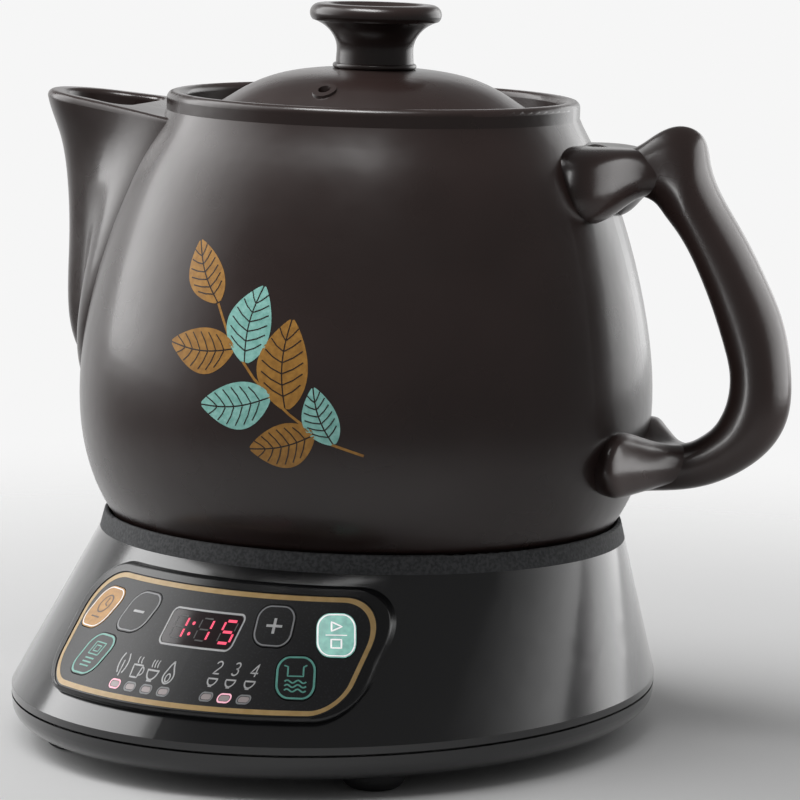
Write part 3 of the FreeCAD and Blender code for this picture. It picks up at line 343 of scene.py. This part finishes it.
# %% [markdown]
# The control panel is a printed film in a raised frame, with a fine glitter in the black. Two
# of its keys are printed all over, in the pot's ochre and in a green that goes with its teal.
# The window over the digits is smoked plastic, and the small lights are milky.

# %% Film and inks
film_black = Finish("film_black", linear("19191b"), roughness=0.42)
film_black.vary_colour(linear("26262a"), scale=1500, start=0.62, end=0.7, detail=0.0)
paint(film_black, "panel_film", "key_minus", "key_plus", "key_function", "key_water")

ink_ochre = Finish("ink_ochre", linear("a37634"), roughness=0.4)
ink_ochre.vary_colour(linear("8f652b"), scale=500, detail=3.0)
ink_teal = Finish("ink_teal", linear("8fc4bb"), roughness=0.4)
ink_teal.vary_colour(linear("78b0a6"), scale=500, detail=3.0)
key_teal = Finish("key_teal", linear("52a091"), roughness=0.4)
key_teal.vary_colour(linear("39857a"), scale=400)
paint(ink_ochre, "key_timer")
paint(key_teal, "key_start")

# %% Window and lights
window_dark = Finish("window_dark", linear("2a1d20"), roughness=0.12)
window_dark.vary_roughness(0.1, 0.16, scale=60)
paint(window_dark, "display_window", "display_module")

light_pipe = Finish("light_pipe", linear("c9bdbd"), roughness=0.35)
light_pipe.vary_roughness(0.3, 0.4, scale=300)
paint(light_pipe, "indicator_lights")

# %% [markdown]
# The prints on the panel and on the pot are thin sheets. Each ink is one mesh. Its shapes are
# drawn flat, in millimetres, in front of the surface that carries them: x to the right and z
# up, as seen from the front. A shrinkwrap modifier then pushes the sheet straight back until it
# lies on the surface. Drawing flat and projecting is how a real pad print or decal is made too,
# and it follows a curved surface without any wrapping by hand. The sheets are cut into small
# quads first, because a large one would cut through the curve behind it.

# %% Lines as lists of points


def along(points, step):
    """The same path with points no more than a step apart."""
    path = [points[0]]
    for a, b in zip(points, points[1:]):
        parts = max(1, math.ceil(math.dist(a, b) / step))
        path += [(a[0] + (b[0] - a[0]) * i / parts, a[1] + (b[1] - a[1]) * i / parts)
                 for i in range(1, parts + 1)]
    return path


def arc(x, z, rx, rz, start, end, count=20):
    """Points on an ellipse, angles in degrees from +x."""
    turns = [math.radians(start + (end - start) * i / count) for i in range(count + 1)]
    return [(x + rx * math.cos(t), z + rz * math.sin(t)) for t in turns]


def rounded_frame(x, z, half_x, half_z, low_r, high_r):
    """Closed path of a rectangle with rounded corners."""
    path = arc(x + half_x - high_r, z + half_z - high_r, high_r, high_r, 0, 90)
    path += arc(x - half_x + high_r, z + half_z - high_r, high_r, high_r, 90, 180)
    path += arc(x - half_x + low_r, z - half_z + low_r, low_r, low_r, 180, 270)
    path += arc(x + half_x - low_r, z - half_z + low_r, low_r, low_r, 270, 360)
    return path + path[:1]


# %% [markdown]
# A line in a mesh has no width, so each stroke becomes two rows of points, one on either side
# of its path, with quads between them. A leaf or a dot is a few more such rows. The sheet is set
# in front of its carrier, pressed on it by the modifier, and then rides on the carrier's body.

# %% A sheet in one ink
sheet_away = 0.4  # metres
longest_quad = 0.8  # millimetres, as all that is drawn flat


class Print:
    """Flat shapes in one ink."""

    def __init__(self, name):
        self.name = name
        self.sheet = bmesh.new()

    def patch(self, rows):
        """A grid of quads through rows of points."""
        grid = [[self.sheet.verts.new((x * MM, 0, z * MM)) for x, z in row] for row in rows]
        for upper, lower in zip(grid, grid[1:]):
            for i in range(len(upper) - 1):
                face = self.sheet.faces.new((upper[i], upper[i + 1], lower[i + 1], lower[i]))
                face.normal_update()
                if face.normal.y > 0:
                    face.normal_flip()

    def stroke(self, points, width):
        """A line of even width; a path that ends where it starts is closed."""
        path = along(points, longest_quad)
        closed = math.dist(path[0], path[-1]) < 1e-6
        left, right = [], []
        for i, (x, z) in enumerate(path):
            before = path[i - 1] if i else (path[-2] if closed else path[0])
            after = path[i + 1] if i + 1 < len(path) else (path[1] if closed else path[-1])
            dx, dz = after[0] - before[0], after[1] - before[1]
            reach = width / 2 / math.hypot(dx, dz)
            left.append((x - dz * reach, z + dx * reach))
            right.append((x + dz * reach, z - dx * reach))
        self.patch([left, right])

    def disc(self, x, z, rx, rz):
        """A filled ellipse."""
        turns = [math.pi * i / 16 for i in range(1, 16)]
        top = [(x + rx * math.cos(t), z + rz * math.sin(t)) for t in turns]
        low = [(x + rx * math.cos(t), z - rz * math.sin(t)) for t in turns]
        self.patch([top, [(a[0], z) for a in top], low])

    def lay(self, finish, carrier, place=None, lift=0.05):
        """Presses the sheet on a CAD node and lets it ride on that node's body."""
        mesh = bpy.data.meshes.new(self.name)
        self.sheet.to_mesh(mesh)
        self.sheet.free()
        piece = bpy.data.objects.new(self.name, mesh)
        bpy.context.scene.collection.objects.link(piece)
        piece.matrix_world = place or Matrix.Translation((axis_x, axis_y - sheet_away, 0))
        bpy.ops.object.select_all(action="DESELECT")
        piece.select_set(True)
        bpy.context.view_layer.objects.active = piece
        press = piece.modifiers.new("press", "SHRINKWRAP")
        press.target = nodes[carrier]
        press.wrap_method = "PROJECT"
        press.wrap_mode = "ABOVE_SURFACE"
        press.use_project_y = True
        press.offset = lift * MM
        bpy.ops.object.modifier_apply(modifier=press.name)
        bpy.ops.object.transform_apply(location=True, rotation=True, scale=True)
        bpy.ops.object.shade_smooth()
        mesh.materials.append(finish.material)
        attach(piece, nodes[carrier]["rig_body"])
        print(self.name, len(mesh.polygons), "faces on", carrier)


# %% [markdown]
# The panel has a gold line round its edge and a frame round the display. Each is a line of its
# own width and ink, along a rectangle with rounded corners. Inks have a soft gloss and cloud a
# little, as a thin layer on a dark ground does.

# %% Inks of the panel
ink_gold = Finish("ink_gold", linear("d9b77e"), roughness=0.35)
ink_gold.vary_colour(linear("cfab70"), scale=300)
ink_white = Finish("ink_white", linear("dedede"), roughness=0.4)
ink_white.vary_colour(linear("d2d2d4"), scale=400)
ink_grey = Finish("ink_grey", linear("a9aaac"), roughness=0.4)
ink_grey.vary_colour(linear("9c9da0"), scale=400)
print("inks:", [ink.material.name for ink in (ink_gold, ink_white, ink_grey)])

# %% Gold line and display frame
gold = Print("print_gold_line")
gold.stroke(rounded_frame(0, 44.8, 54.8, 16.0, 8.4, 13.4), 1.4)
gold.lay(ink_gold, "panel_film")

display_x, display_z = -0.9, 49.9
frame_line = Print("print_display_frame")
frame_line.stroke(rounded_frame(display_x, display_z, 13.75, 5.15, 1.9, 1.9), 0.55)
frame_line.lay(ink_white, "panel_film")

# %% [markdown]
# The labels are plain pictures for what such a pot does: a leaf, a cup, a bowl and a flame,
# and a small bowl under each number of portions. Each sign is a short function that draws
# about a middle point, so that one number moves the whole sign.

# %% Signs over the lights
led_x = (-23.3, -16.7, -10.0, -3.3, 12.6, 18.8, 25.2)
label_z = 37.2
portion_z = 37.0
sign_x = [x - 0.6 for x in led_x]


def leaf_sign(pen, x, z):
    pen.stroke(arc(x - 2.2, z + 0.6, 4.0, 4.4, -38, 38), 0.5)
    pen.stroke(arc(x + 2.2, z + 0.6, 4.0, 4.4, 142, 218), 0.5)
    pen.stroke([(x, z - 3.0), (x, z + 1.4)], 0.45)


def cup_sign(pen, x, z):
    pen.stroke([(x - 2.0, z + 0.8), (x - 1.5, z - 2.6), (x + 1.3, z - 2.6), (x + 1.8, z + 0.8),
                (x - 2.0, z + 0.8)], 0.5)
    pen.stroke(arc(x + 1.6, z - 0.7, 1.3, 1.2, -80, 80), 0.45)
    pen.stroke(arc(x - 0.6, z + 2.3, 0.5, 0.9, 120, 270), 0.4)
    pen.stroke(arc(x + 0.8, z + 2.3, 0.5, 0.9, 120, 270), 0.4)


def bowl_sign(pen, x, z):
    pen.stroke([(x - 2.4, z), (x + 2.4, z)], 0.5)
    pen.stroke(arc(x, z, 2.1, 2.6, 180, 360), 0.5)
    pen.stroke([(x - 1.0, z - 2.9), (x + 1.0, z - 2.9)], 0.5)
    for shift in (-1.1, 0.0, 1.1):
        pen.stroke(arc(x + shift, z + 1.9, 0.4, 1.0, 110, 270), 0.4)


def flame_sign(pen, x, z):
    pen.stroke(arc(x - 0.2, z - 1.0, 1.9, 2.0, 150, 390), 0.5)
    pen.stroke([(x - 1.85, z), (x - 1.0, z + 2.0), (x - 0.2, z + 3.2)], 0.5)
    pen.stroke([(x - 0.2, z + 3.2), (x + 0.5, z + 1.5), (x + 1.45, z)], 0.5)
    pen.stroke(arc(x - 0.2, z - 1.4, 0.8, 1.1, 0, 360), 0.4)


def portion_sign(pen, x, z):
    pen.stroke(arc(x, z, 1.6, 1.9, 180, 360) + [(x - 1.6, z)], 0.45)
    pen.stroke([(x - 0.6, z - 2.1), (x + 0.6, z - 2.1)], 0.45)


labels = Print("print_labels")
for sign, x in zip((leaf_sign, cup_sign, bowl_sign, flame_sign), sign_x):
    sign(labels, x, label_z)
for x in sign_x[4:]:
    portion_sign(labels, x, portion_z)
labels.lay(ink_white, "panel_film")

# %% Numbers of portions
number_z = 40.1
number_pen = 0.42


def two(pen, x, z):
    foot = [(x - 1.0, z - 1.7), (x + 1.1, z - 1.7)]
    pen.stroke(arc(x, z + 0.75, 0.95, 0.95, 165, -30) + foot, number_pen)


def three(pen, x, z):
    upper = arc(x, z + 0.85, 0.85, 0.85, 150, -90)
    pen.stroke(upper + arc(x, z - 0.85, 1.0, 0.9, 90, -155), number_pen)


def four(pen, x, z):
    pen.stroke([(x + 0.45, z - 1.8), (x + 0.45, z + 1.7), (x - 1.2, z - 0.8),
                (x + 1.2, z - 0.8)], number_pen)


numbers = Print("print_numbers")
for number, x in zip((two, three, four), sign_x[4:]):
    number(numbers, x, number_z)
numbers.lay(ink_white, "panel_film")

# %% [markdown]
# Each small light has a ring round it. Two of them glow, for the programme and the number of
# portions that are set, so their rings are a print of their own, laid with the other glowing
# inks below.

# %% Rings round the lights
led_z = 32.0
rings = Print("print_indicator_rings")
lit = Print("print_lit_rings")
for x in led_x:
    target = lit if x in (led_x[0], led_x[5]) else rings
    target.stroke(rounded_frame(x, led_z, 2.1, 1.12, 1.1, 1.1), 0.45)
rings.lay(ink_grey, "panel_film")

# %% [markdown]
# Each key carries its own print, because it moves. A key lies square to its own push
# direction, so its print is drawn in the key's own plane: across, up the slope, and inwards
# along the push. The joint gives that direction.

# %% Inks and measures of the keys
ink_teal_line = Finish("ink_teal_line", linear("7fc9bb"), roughness=0.35)
ink_teal_line.vary_colour(linear("72bbad"), scale=400)
ink_brown = Finish("ink_brown", linear("4a3320"), roughness=0.4)
ink_brown.vary_colour(linear("402b1a"), scale=400)
print("inks:", [ink.material.name for ink in (ink_teal_line, ink_brown)])
key_half, key_corner = 6.7, 4.7
key_tall = key_half * 1.35
line_inset = 0.5

# %% The plane of a key
push = {j["child"]: Vector(j["axis"]).normalized() for j in frame["joints"]}
key_sheet_away = 0.02  # metres


def key_plane(name):
    """Matrix that stands just in front of a key's face: x across, y inwards, z up the slope."""
    inwards = push[name]
    across = Vector((-inwards.y, inwards.x, 0)).normalized()
    if across.x < 0:
        across = -across
    upwards = across.cross(inwards)
    key = nodes[name].data
    face = [p for p in key.polygons if p.normal.dot(inwards) < -0.95]
    area = sum(p.area for p in face)
    centre = sum((p.center * p.area for p in face), Vector()) / area
    turn = Matrix((across, inwards, upwards)).transposed().to_4x4()
    return Matrix.Translation(centre - inwards * key_sheet_away) @ turn


# %% Outlines of the keys


def key_outline(name, finish, width):
    line = Print("print_" + name + "_outline")
    half, corner = key_half - line_inset, key_corner - line_inset
    path = rounded_frame(0, 0, half, half, corner, corner)
    line.stroke([(x, z * key_tall / key_half) for x, z in path], width)
    line.lay(finish, name, key_plane(name))


for name, finish, width in (
        ("key_minus", ink_grey, 0.55), ("key_plus", ink_grey, 0.55), ("key_start", ink_white, 0.5),
        ("key_timer", ink_white, 0.4), ("key_function", ink_teal_line, 0.75),
        ("key_water", ink_teal_line, 0.75)):
    key_outline(name, finish, width)

# %% Minus and plus
minus = Print("print_minus")
minus.stroke([(-2.5, 0), (2.5, 0)], 1.0)
minus.lay(ink_white, "key_minus", key_plane("key_minus"))
plus = Print("print_plus")
plus.stroke([(-2.7, 0), (2.7, 0)], 1.1)
plus.stroke([(0, 0.55), (0, 3.3)], 0.95)
plus.stroke([(0, -0.55), (0, -3.3)], 0.95)
plus.lay(ink_white, "key_plus", key_plane("key_plus"))

# %% [markdown]
# The other keys say what they do in a picture: a clock for the timer, a triangle and a square
# for start and stop, a small screen over lines for the function, and waves under a vessel for
# the water.

# %% Clock, start and stop
clock = Print("print_clock")
clock.stroke(arc(0, 1.4, 2.7, 3.7, 0, 360, 40), 0.6)
clock.stroke([(0, 4.0), (0, 1.4), (1.5, 0.6)], 0.55)
clock.stroke([(-2.4, -4.4), (2.4, -4.4)], 0.6)
clock.lay(ink_brown, "key_timer", key_plane("key_timer"))

power = Print("print_start_stop")
power.stroke([(-3.6, 0), (3.6, 0)], 0.4)
power.stroke([(-1.6, 1.6), (-1.6, 5.4), (1.9, 3.5), (-1.6, 1.6)], 0.6)
power.stroke([(-1.7, -1.8), (1.7, -1.8), (1.7, -5.2), (-1.7, -5.2), (-1.7, -1.8)], 0.6)
power.lay(ink_white, "key_start", key_plane("key_start"))

# %% Function and water
menu = Print("print_menu")
menu.stroke([(-2.6, 5.0), (2.6, 5.0), (2.6, -0.2), (-2.6, -0.2), (-2.6, 5.0)], 0.5)
menu.stroke([(-1.3, 3.6), (1.3, 3.6), (1.3, 1.2), (-1.3, 1.2), (-1.3, 3.6)], 0.45)
for level in (-2.0, -3.6, -5.2):
    menu.stroke([(-2.4, level), (2.4, level)], 0.6)
menu.lay(ink_teal_line, "key_function", key_plane("key_function"))

water = Print("print_water")
water.stroke([(-4.0, 5.0), (-2.7, 4.4), (-2.7, 0.6), (2.5, 0.6), (2.5, 4.4), (3.6, 5.2)], 0.55)
for level in (-1.6, -3.4, -5.2):
    wave = [(-3.6 + 0.3 * i, level + 0.55 * math.sin(0.3 * i * 1.75)) for i in range(25)]
    water.stroke(wave, 0.6)
water.lay(ink_teal_line, "key_water", key_plane("key_water"))

# %% [markdown]
# The display shows lit digits of seven segments, with the unlit ones just visible as grey
# ghosts. A lit segment gives off its own light, so its material mostly emits.

# %% Inks that glow
glow_red = Finish("glow_red", linear("d23c58"), roughness=0.4, Emission_Strength=1.1)
glow_red.shader.inputs["Emission Color"].default_value = linear("e8506c")
glow_red.vary_colour(linear("c23450"), scale=600)
glow_pink = Finish("glow_pink", linear("f0b6c4"), roughness=0.4, Emission_Strength=0.7)
glow_pink.shader.inputs["Emission Color"].default_value = linear("f2b4c4")
glow_pink.vary_colour(linear("eaaabb"), scale=600)
ghost_grey = Finish("ghost_grey", linear("6c6c6c"), roughness=0.4)
ghost_grey.vary_colour(linear("606060"), scale=600)
lit.lay(glow_pink, "panel_film")

# %% Digits of seven segments
digit_half_x, digit_half_z = 2.2, 3.1
digit_z = display_z
end_trim = 0.14
segments = {
    "a": ((-1, 1), (1, 1)), "b": ((1, 1), (1, 0)), "c": ((1, 0), (1, -1)), "d": ((1, -1), (-1, -1)),
    "e": ((-1, -1), (-1, 0)), "f": ((-1, 0), (-1, 1)), "g": ((-1, 0), (1, 0)),
}
lit_segments = Print("print_lit_digits")
ghosts = Print("print_ghost_digits")
for centre_x, shown in ((-9.3, "bc"), (0.3, "bc"), (9.0, "afgcd")):
    for name, (a, b) in segments.items():
        a, b = [(p[0] - (p[0] - q[0]) * end_trim, p[1] - (p[1] - q[1]) * end_trim)
                for p, q in ((a, b), (b, a))]
        ends = [(centre_x + p[0] * digit_half_x, digit_z + p[1] * digit_half_z) for p in (a, b)]
        (lit_segments if name in shown else ghosts).stroke(ends, 0.75 if name in shown else 0.4)
for dot_z in (digit_z + 1.4, digit_z - 1.6):
    lit_segments.disc(-4.5, dot_z, 0.55, 0.5)
lit_segments.lay(glow_red, "display_window")
ghosts.lay(ghost_grey, "display_window")

# %% [markdown]
# The pot's front carries a printed sprig in the same two inks. Each leaf is a grid of quads
# between its midrib and its edge, so that its outline is smooth and it bends with the pot.
# Fine veins in the colour of the glaze lie over the leaves, as if the ink had been left out.

# %% Where the sprig goes, and its stem
sprig_turn = math.radians(6.6)
sprig_z = 136.5
sprig_sheet_away = 0.2  # metres
sprig_place = (Matrix.Translation((axis_x, axis_y, 0)) @ Matrix.Rotation(sprig_turn, 4, "Z")
               @ Matrix.Translation((0, -sprig_sheet_away, sprig_z * MM)))
stem_points = [(34, -27), (22, -23), (9, -14), (-4, -3), (-14, 9), (-20, 21)]


def stem_at(t):
    """Point and direction on the stem, t from 0 at its foot to 1 at its end."""
    place = t * (len(stem_points) - 1)
    i = min(int(place), len(stem_points) - 2)
    a, b = stem_points[i], stem_points[i + 1]
    share = place - i
    point = (a[0] + (b[0] - a[0]) * share, a[1] + (b[1] - a[1]) * share)
    return point, math.atan2(b[1] - a[1], b[0] - a[0])


print("stem about", round(math.dist(stem_points[0], stem_points[-1])), "mm from end to end")

# %% [markdown]
# A leaf is pointed at both ends and widest a little nearer its foot. A sine gives such an
# outline: one exponent moves the widest place and the other fills out the sides. The midrib
# curves a little, and the glaze shows along it, because the leaf's halves stop just short of it.

# %% One leaf
leaf_inks = {"teal": Print("print_leaves_teal"), "ochre": Print("print_leaves_ochre")}
veins = Print("print_veins")
leaf_bend = 0.07
midrib_half = 0.25
edge_least = 0.05
vein_width = 0.4


def leaf(foot, heading, length, half_width, ink):
    """One pointed leaf with a midrib, from its foot along a heading."""
    def spot(t, across):
        bend = leaf_bend * length * math.sin(math.pi * t)
        forward, aside = t * length, bend + across
        return (foot[0] + forward * math.cos(heading) - aside * math.sin(heading),
                foot[1] + forward * math.sin(heading) + aside * math.cos(heading))

    def width(t):
        return half_width * math.sin(math.pi * t ** 0.85) ** 0.8

    steps = [0.02 + 0.96 * i / 24 for i in range(25)]
    for side in (1, -1):
        rows = [[spot(t, side * (midrib_half + max(width(t) - midrib_half, edge_least) * j / 5))
                 for t in steps] for j in range(6)]
        leaf_inks[ink].patch(rows)
        for i in range(6):
            t = 0.16 + 0.12 * i
            reach = width(t + 0.1) * 0.82
            veins.stroke([spot(t, side * midrib_half), spot(t + 0.055, side * reach * 0.55),
                          spot(t + 0.13, side * reach)], vein_width)


# %% The whole sprig
leaf_spread = math.radians(50)
stem_width = 0.9
# place on the stem, side, length, half width, ink
leaves = (
    (0.16, 1, 21, 6.0, "teal"), (0.26, -1, 24, 7.5, "ochre"), (0.42, 1, 31, 9.0, "ochre"),
    (0.50, -1, 27, 8.0, "teal"), (0.68, 1, 27, 8.2, "teal"), (0.76, -1, 26, 7.8, "ochre"),
    (1.0, 0, 23, 7.0, "ochre"),
)
for t, side, length, half_width, ink in leaves:
    foot, direction = stem_at(t)
    leaf(foot, direction - side * leaf_spread, length, half_width, ink)
stem = Print("print_stem")
stem.stroke([stem_at(i / 30)[0] for i in range(31)], stem_width)
stem.lay(ink_ochre, "pot_body", sprig_place, lift=0.06)
leaf_inks["teal"].lay(ink_teal, "pot_body", sprig_place, lift=0.08)
leaf_inks["ochre"].lay(ink_ochre, "pot_body", sprig_place, lift=0.08)
veins.lay(glaze, "pot_body", sprig_place, lift=0.14)

# %% [markdown]
# The floor is pale near the pot and keeps its shadow. Further out it fades to clear, so the
# pale backdrop of the world shows and no horizon is seen.

# %% Floor
bpy.ops.mesh.primitive_plane_add(size=8, location=(0, 0, 0))
floor = bpy.context.object
floor.name = "floor"
floor_finish = Finish("floor_pale", linear("e4e4e4"), roughness=0.7)
away = floor_finish.node("ShaderNodeVectorMath", operation="LENGTH")
floor_finish.link(floor_finish.place(), away.inputs[0])
fade_from, fade_to = 0.2, 0.7
fade = floor_finish.node("ShaderNodeMapRange", interpolation_type="SMOOTHSTEP")
fade.inputs["From Min"].default_value, fade.inputs["From Max"].default_value = fade_from, fade_to
floor_finish.link(away.outputs["Value"], fade.inputs["Value"])
clear = floor_finish.node("ShaderNodeBsdfTransparent")
faded = floor_finish.node("ShaderNodeMixShader")
floor_finish.link(fade.outputs["Result"], faded.inputs["Fac"])
floor_finish.link(floor_finish.shader.outputs["BSDF"], faded.inputs[1])
floor_finish.link(clear.outputs["BSDF"], faded.inputs[2])
floor_finish.link(faded.outputs["Shader"], floor_finish.tree.nodes["Material Output"].inputs["Surface"])
floor.data.materials.append(floor_finish.material)
print("floor fades to clear from", fade_from, "to", fade_to, "m")

# %% [markdown]
# The world is the backdrop. It is pale to the camera on all sides. Gloss sees it pale only low
# down behind the pot, where a real backdrop hangs, and dim elsewhere, which keeps the dark
# glaze dark. The Light Path node tells these rays apart, and small helpers wire the nodes.

# %% Nodes of the world
world = bpy.data.worlds.new("studio")
bpy.context.scene.world = world
world.use_nodes = True
tree = world.node_tree


def world_node(kind, inputs=(), **values):
    """Adds a node to the world; inputs are numbers, vectors or sockets."""
    made = tree.nodes.new(kind)
    for key, value in values.items():
        setattr(made, key, value)
    for slot, value in enumerate(inputs):
        if isinstance(value, bpy.types.NodeSocket):
            tree.links.new(value, made.inputs[slot])
        elif value is not None:
            made.inputs[slot].default_value = value
    return made


def rise(value, start, end):
    """Goes smoothly from 0 at start to 1 at end."""
    ranged = world_node("ShaderNodeMapRange", (value, start, end, 0, 1), interpolation_type="SMOOTHSTEP")
    return ranged.outputs[0]


def combine(a, b, operation):
    return world_node("ShaderNodeMath", (a, b), operation=operation).outputs[0]


# %% Backdrop
direction = world_node("ShaderNodeTexCoord").outputs["Generated"]
away_from_view = (-math.sin(view_azimuth), math.cos(view_azimuth), 0)
toward = world_node("ShaderNodeVectorMath", (direction, away_from_view),
                    operation="DOT_PRODUCT").outputs["Value"]
height = world_node("ShaderNodeSeparateXYZ", (direction,)).outputs["Z"]
behind = rise(toward, 0.35, 0.85)
low = rise(height, 0.45, 0.25)
rays = world_node("ShaderNodeLightPath").outputs
gloss = combine(rays["Is Glossy Ray"], rays["Is Transmission Ray"], "MAXIMUM")
there = combine(behind, low, "MULTIPLY")
seen = combine(gloss, there, "MULTIPLY")
share = combine(rays["Is Camera Ray"], seen, "MAXIMUM")
dim = world_node("ShaderNodeBackground", (linear("f2f2f2"), 0.2)).outputs[0]
pale = world_node("ShaderNodeBackground", (linear("f6f6f6"), 1.0)).outputs[0]
blend = world_node("ShaderNodeMixShader", (share, dim, pale))
tree.links.new(blend.outputs[0], tree.nodes["World Output"].inputs["Surface"])
print("backdrop ready,", len(tree.nodes), "nodes")

# %% [markdown]
# Soft lamps stand round the pot. The large one on the left fades out towards the front, so the
# glaze takes it as a broad glow without an edge: the lamp's own flat coordinate drives its
# strength. A tall one stands behind on the right and draws the streak at the pot's edge. One
# over the front lights the glaze, its prints and the two coloured keys. The handle, the base and
# the floor get lamps of their own. Light linking keeps those off the rest, as black cards do in
# a studio.

# %% A soft lamp
lamp_aim = Vector((axis_x, axis_y, 0.16))


def softbox(name, turn, distance, height, size, power, fade=None, only=None):
    """A lamp at an angle to the camera's left (negative) or right, turned to the pot.

    fade is (dark, full) along its width; only lists the pieces that it lights.
    """
    angle = view_azimuth + math.radians(turn)
    place = Vector((axis_x + distance * math.sin(angle), axis_y - distance * math.cos(angle), height))
    bpy.ops.object.light_add(type="AREA", location=place)
    lamp = bpy.context.object
    lamp.name = name
    lamp.data.shape = "RECTANGLE"
    lamp.data.size, lamp.data.size_y = size
    lamp.data.energy = power
    lamp.rotation_euler = (lamp_aim - place).to_track_quat("-Z", "Y").to_euler()
    if fade:
        lamp.data.use_nodes = True
        nodes_of = lamp.data.node_tree
        flat = nodes_of.nodes.new("ShaderNodeNewGeometry")
        parts = nodes_of.nodes.new("ShaderNodeSeparateXYZ")
        ramp = nodes_of.nodes.new("ShaderNodeMapRange")
        ramp.interpolation_type = "SMOOTHSTEP"
        ramp.inputs["From Min"].default_value, ramp.inputs["From Max"].default_value = fade
        nodes_of.links.new(flat.outputs["Parametric"], parts.inputs[0])
        nodes_of.links.new(parts.outputs["X"], ramp.inputs["Value"])
        nodes_of.links.new(ramp.outputs["Result"], nodes_of.nodes["Emission"].inputs["Strength"])
    if only:
        receivers = bpy.data.collections.new(name + "_receivers")
        for piece in only:
            receivers.objects.link(piece)
        lamp.light_linking.receiver_collection = receivers


# %% The lamps and what each one lights


def pieces(*names):
    return [bpy.data.objects[name] for name in names]


base_pieces = pieces("base_housing", "bottom_cover", "top_ring", "panel_bezel", "panel_film")
pot_pieces = pieces("pot_body", "pot_floor", "pot_ledge", "pot_spout", "lid", "lid_knob",
                    "print_stem", "print_leaves_teal", "print_leaves_ochre", "print_veins")
bright_keys = pieces("key_start", "print_start_stop", "print_key_start_outline",
                     "key_timer", "print_clock", "print_key_timer_outline")
handle_pieces = pieces("pot_handle")
softbox("lamp_left", -88, 1.5, 0.95, (3.0, 1.9), 74, fade=(0.82, 0.17))
softbox("lamp_right", 130, 1.5, 0.45, (1.4, 0.9), 6.5, fade=(0.0, 0.3))
softbox("lamp_front", -35, 0.47, 1.56, (0.9, 0.5), 24, only=pot_pieces + bright_keys)
softbox("lamp_floor", -35, 0.61, 1.53, (1.3, 0.7), 8, only=(floor,))
softbox("lamp_handle", 78, 0.9, 0.4, (1.4, 0.9), 17, fade=(-0.25, 0.65), only=handle_pieces)
softbox("lamp_handle_left", -52, 0.9, 0.3, (0.14, 0.8), 4, only=handle_pieces)
softbox("lamp_base", 98, 1.2, 0.72, (1.2, 0.8), 6, fade=(0.0, 0.8), only=base_pieces)
bpy.context.scene.view_settings.view_transform = "Standard"
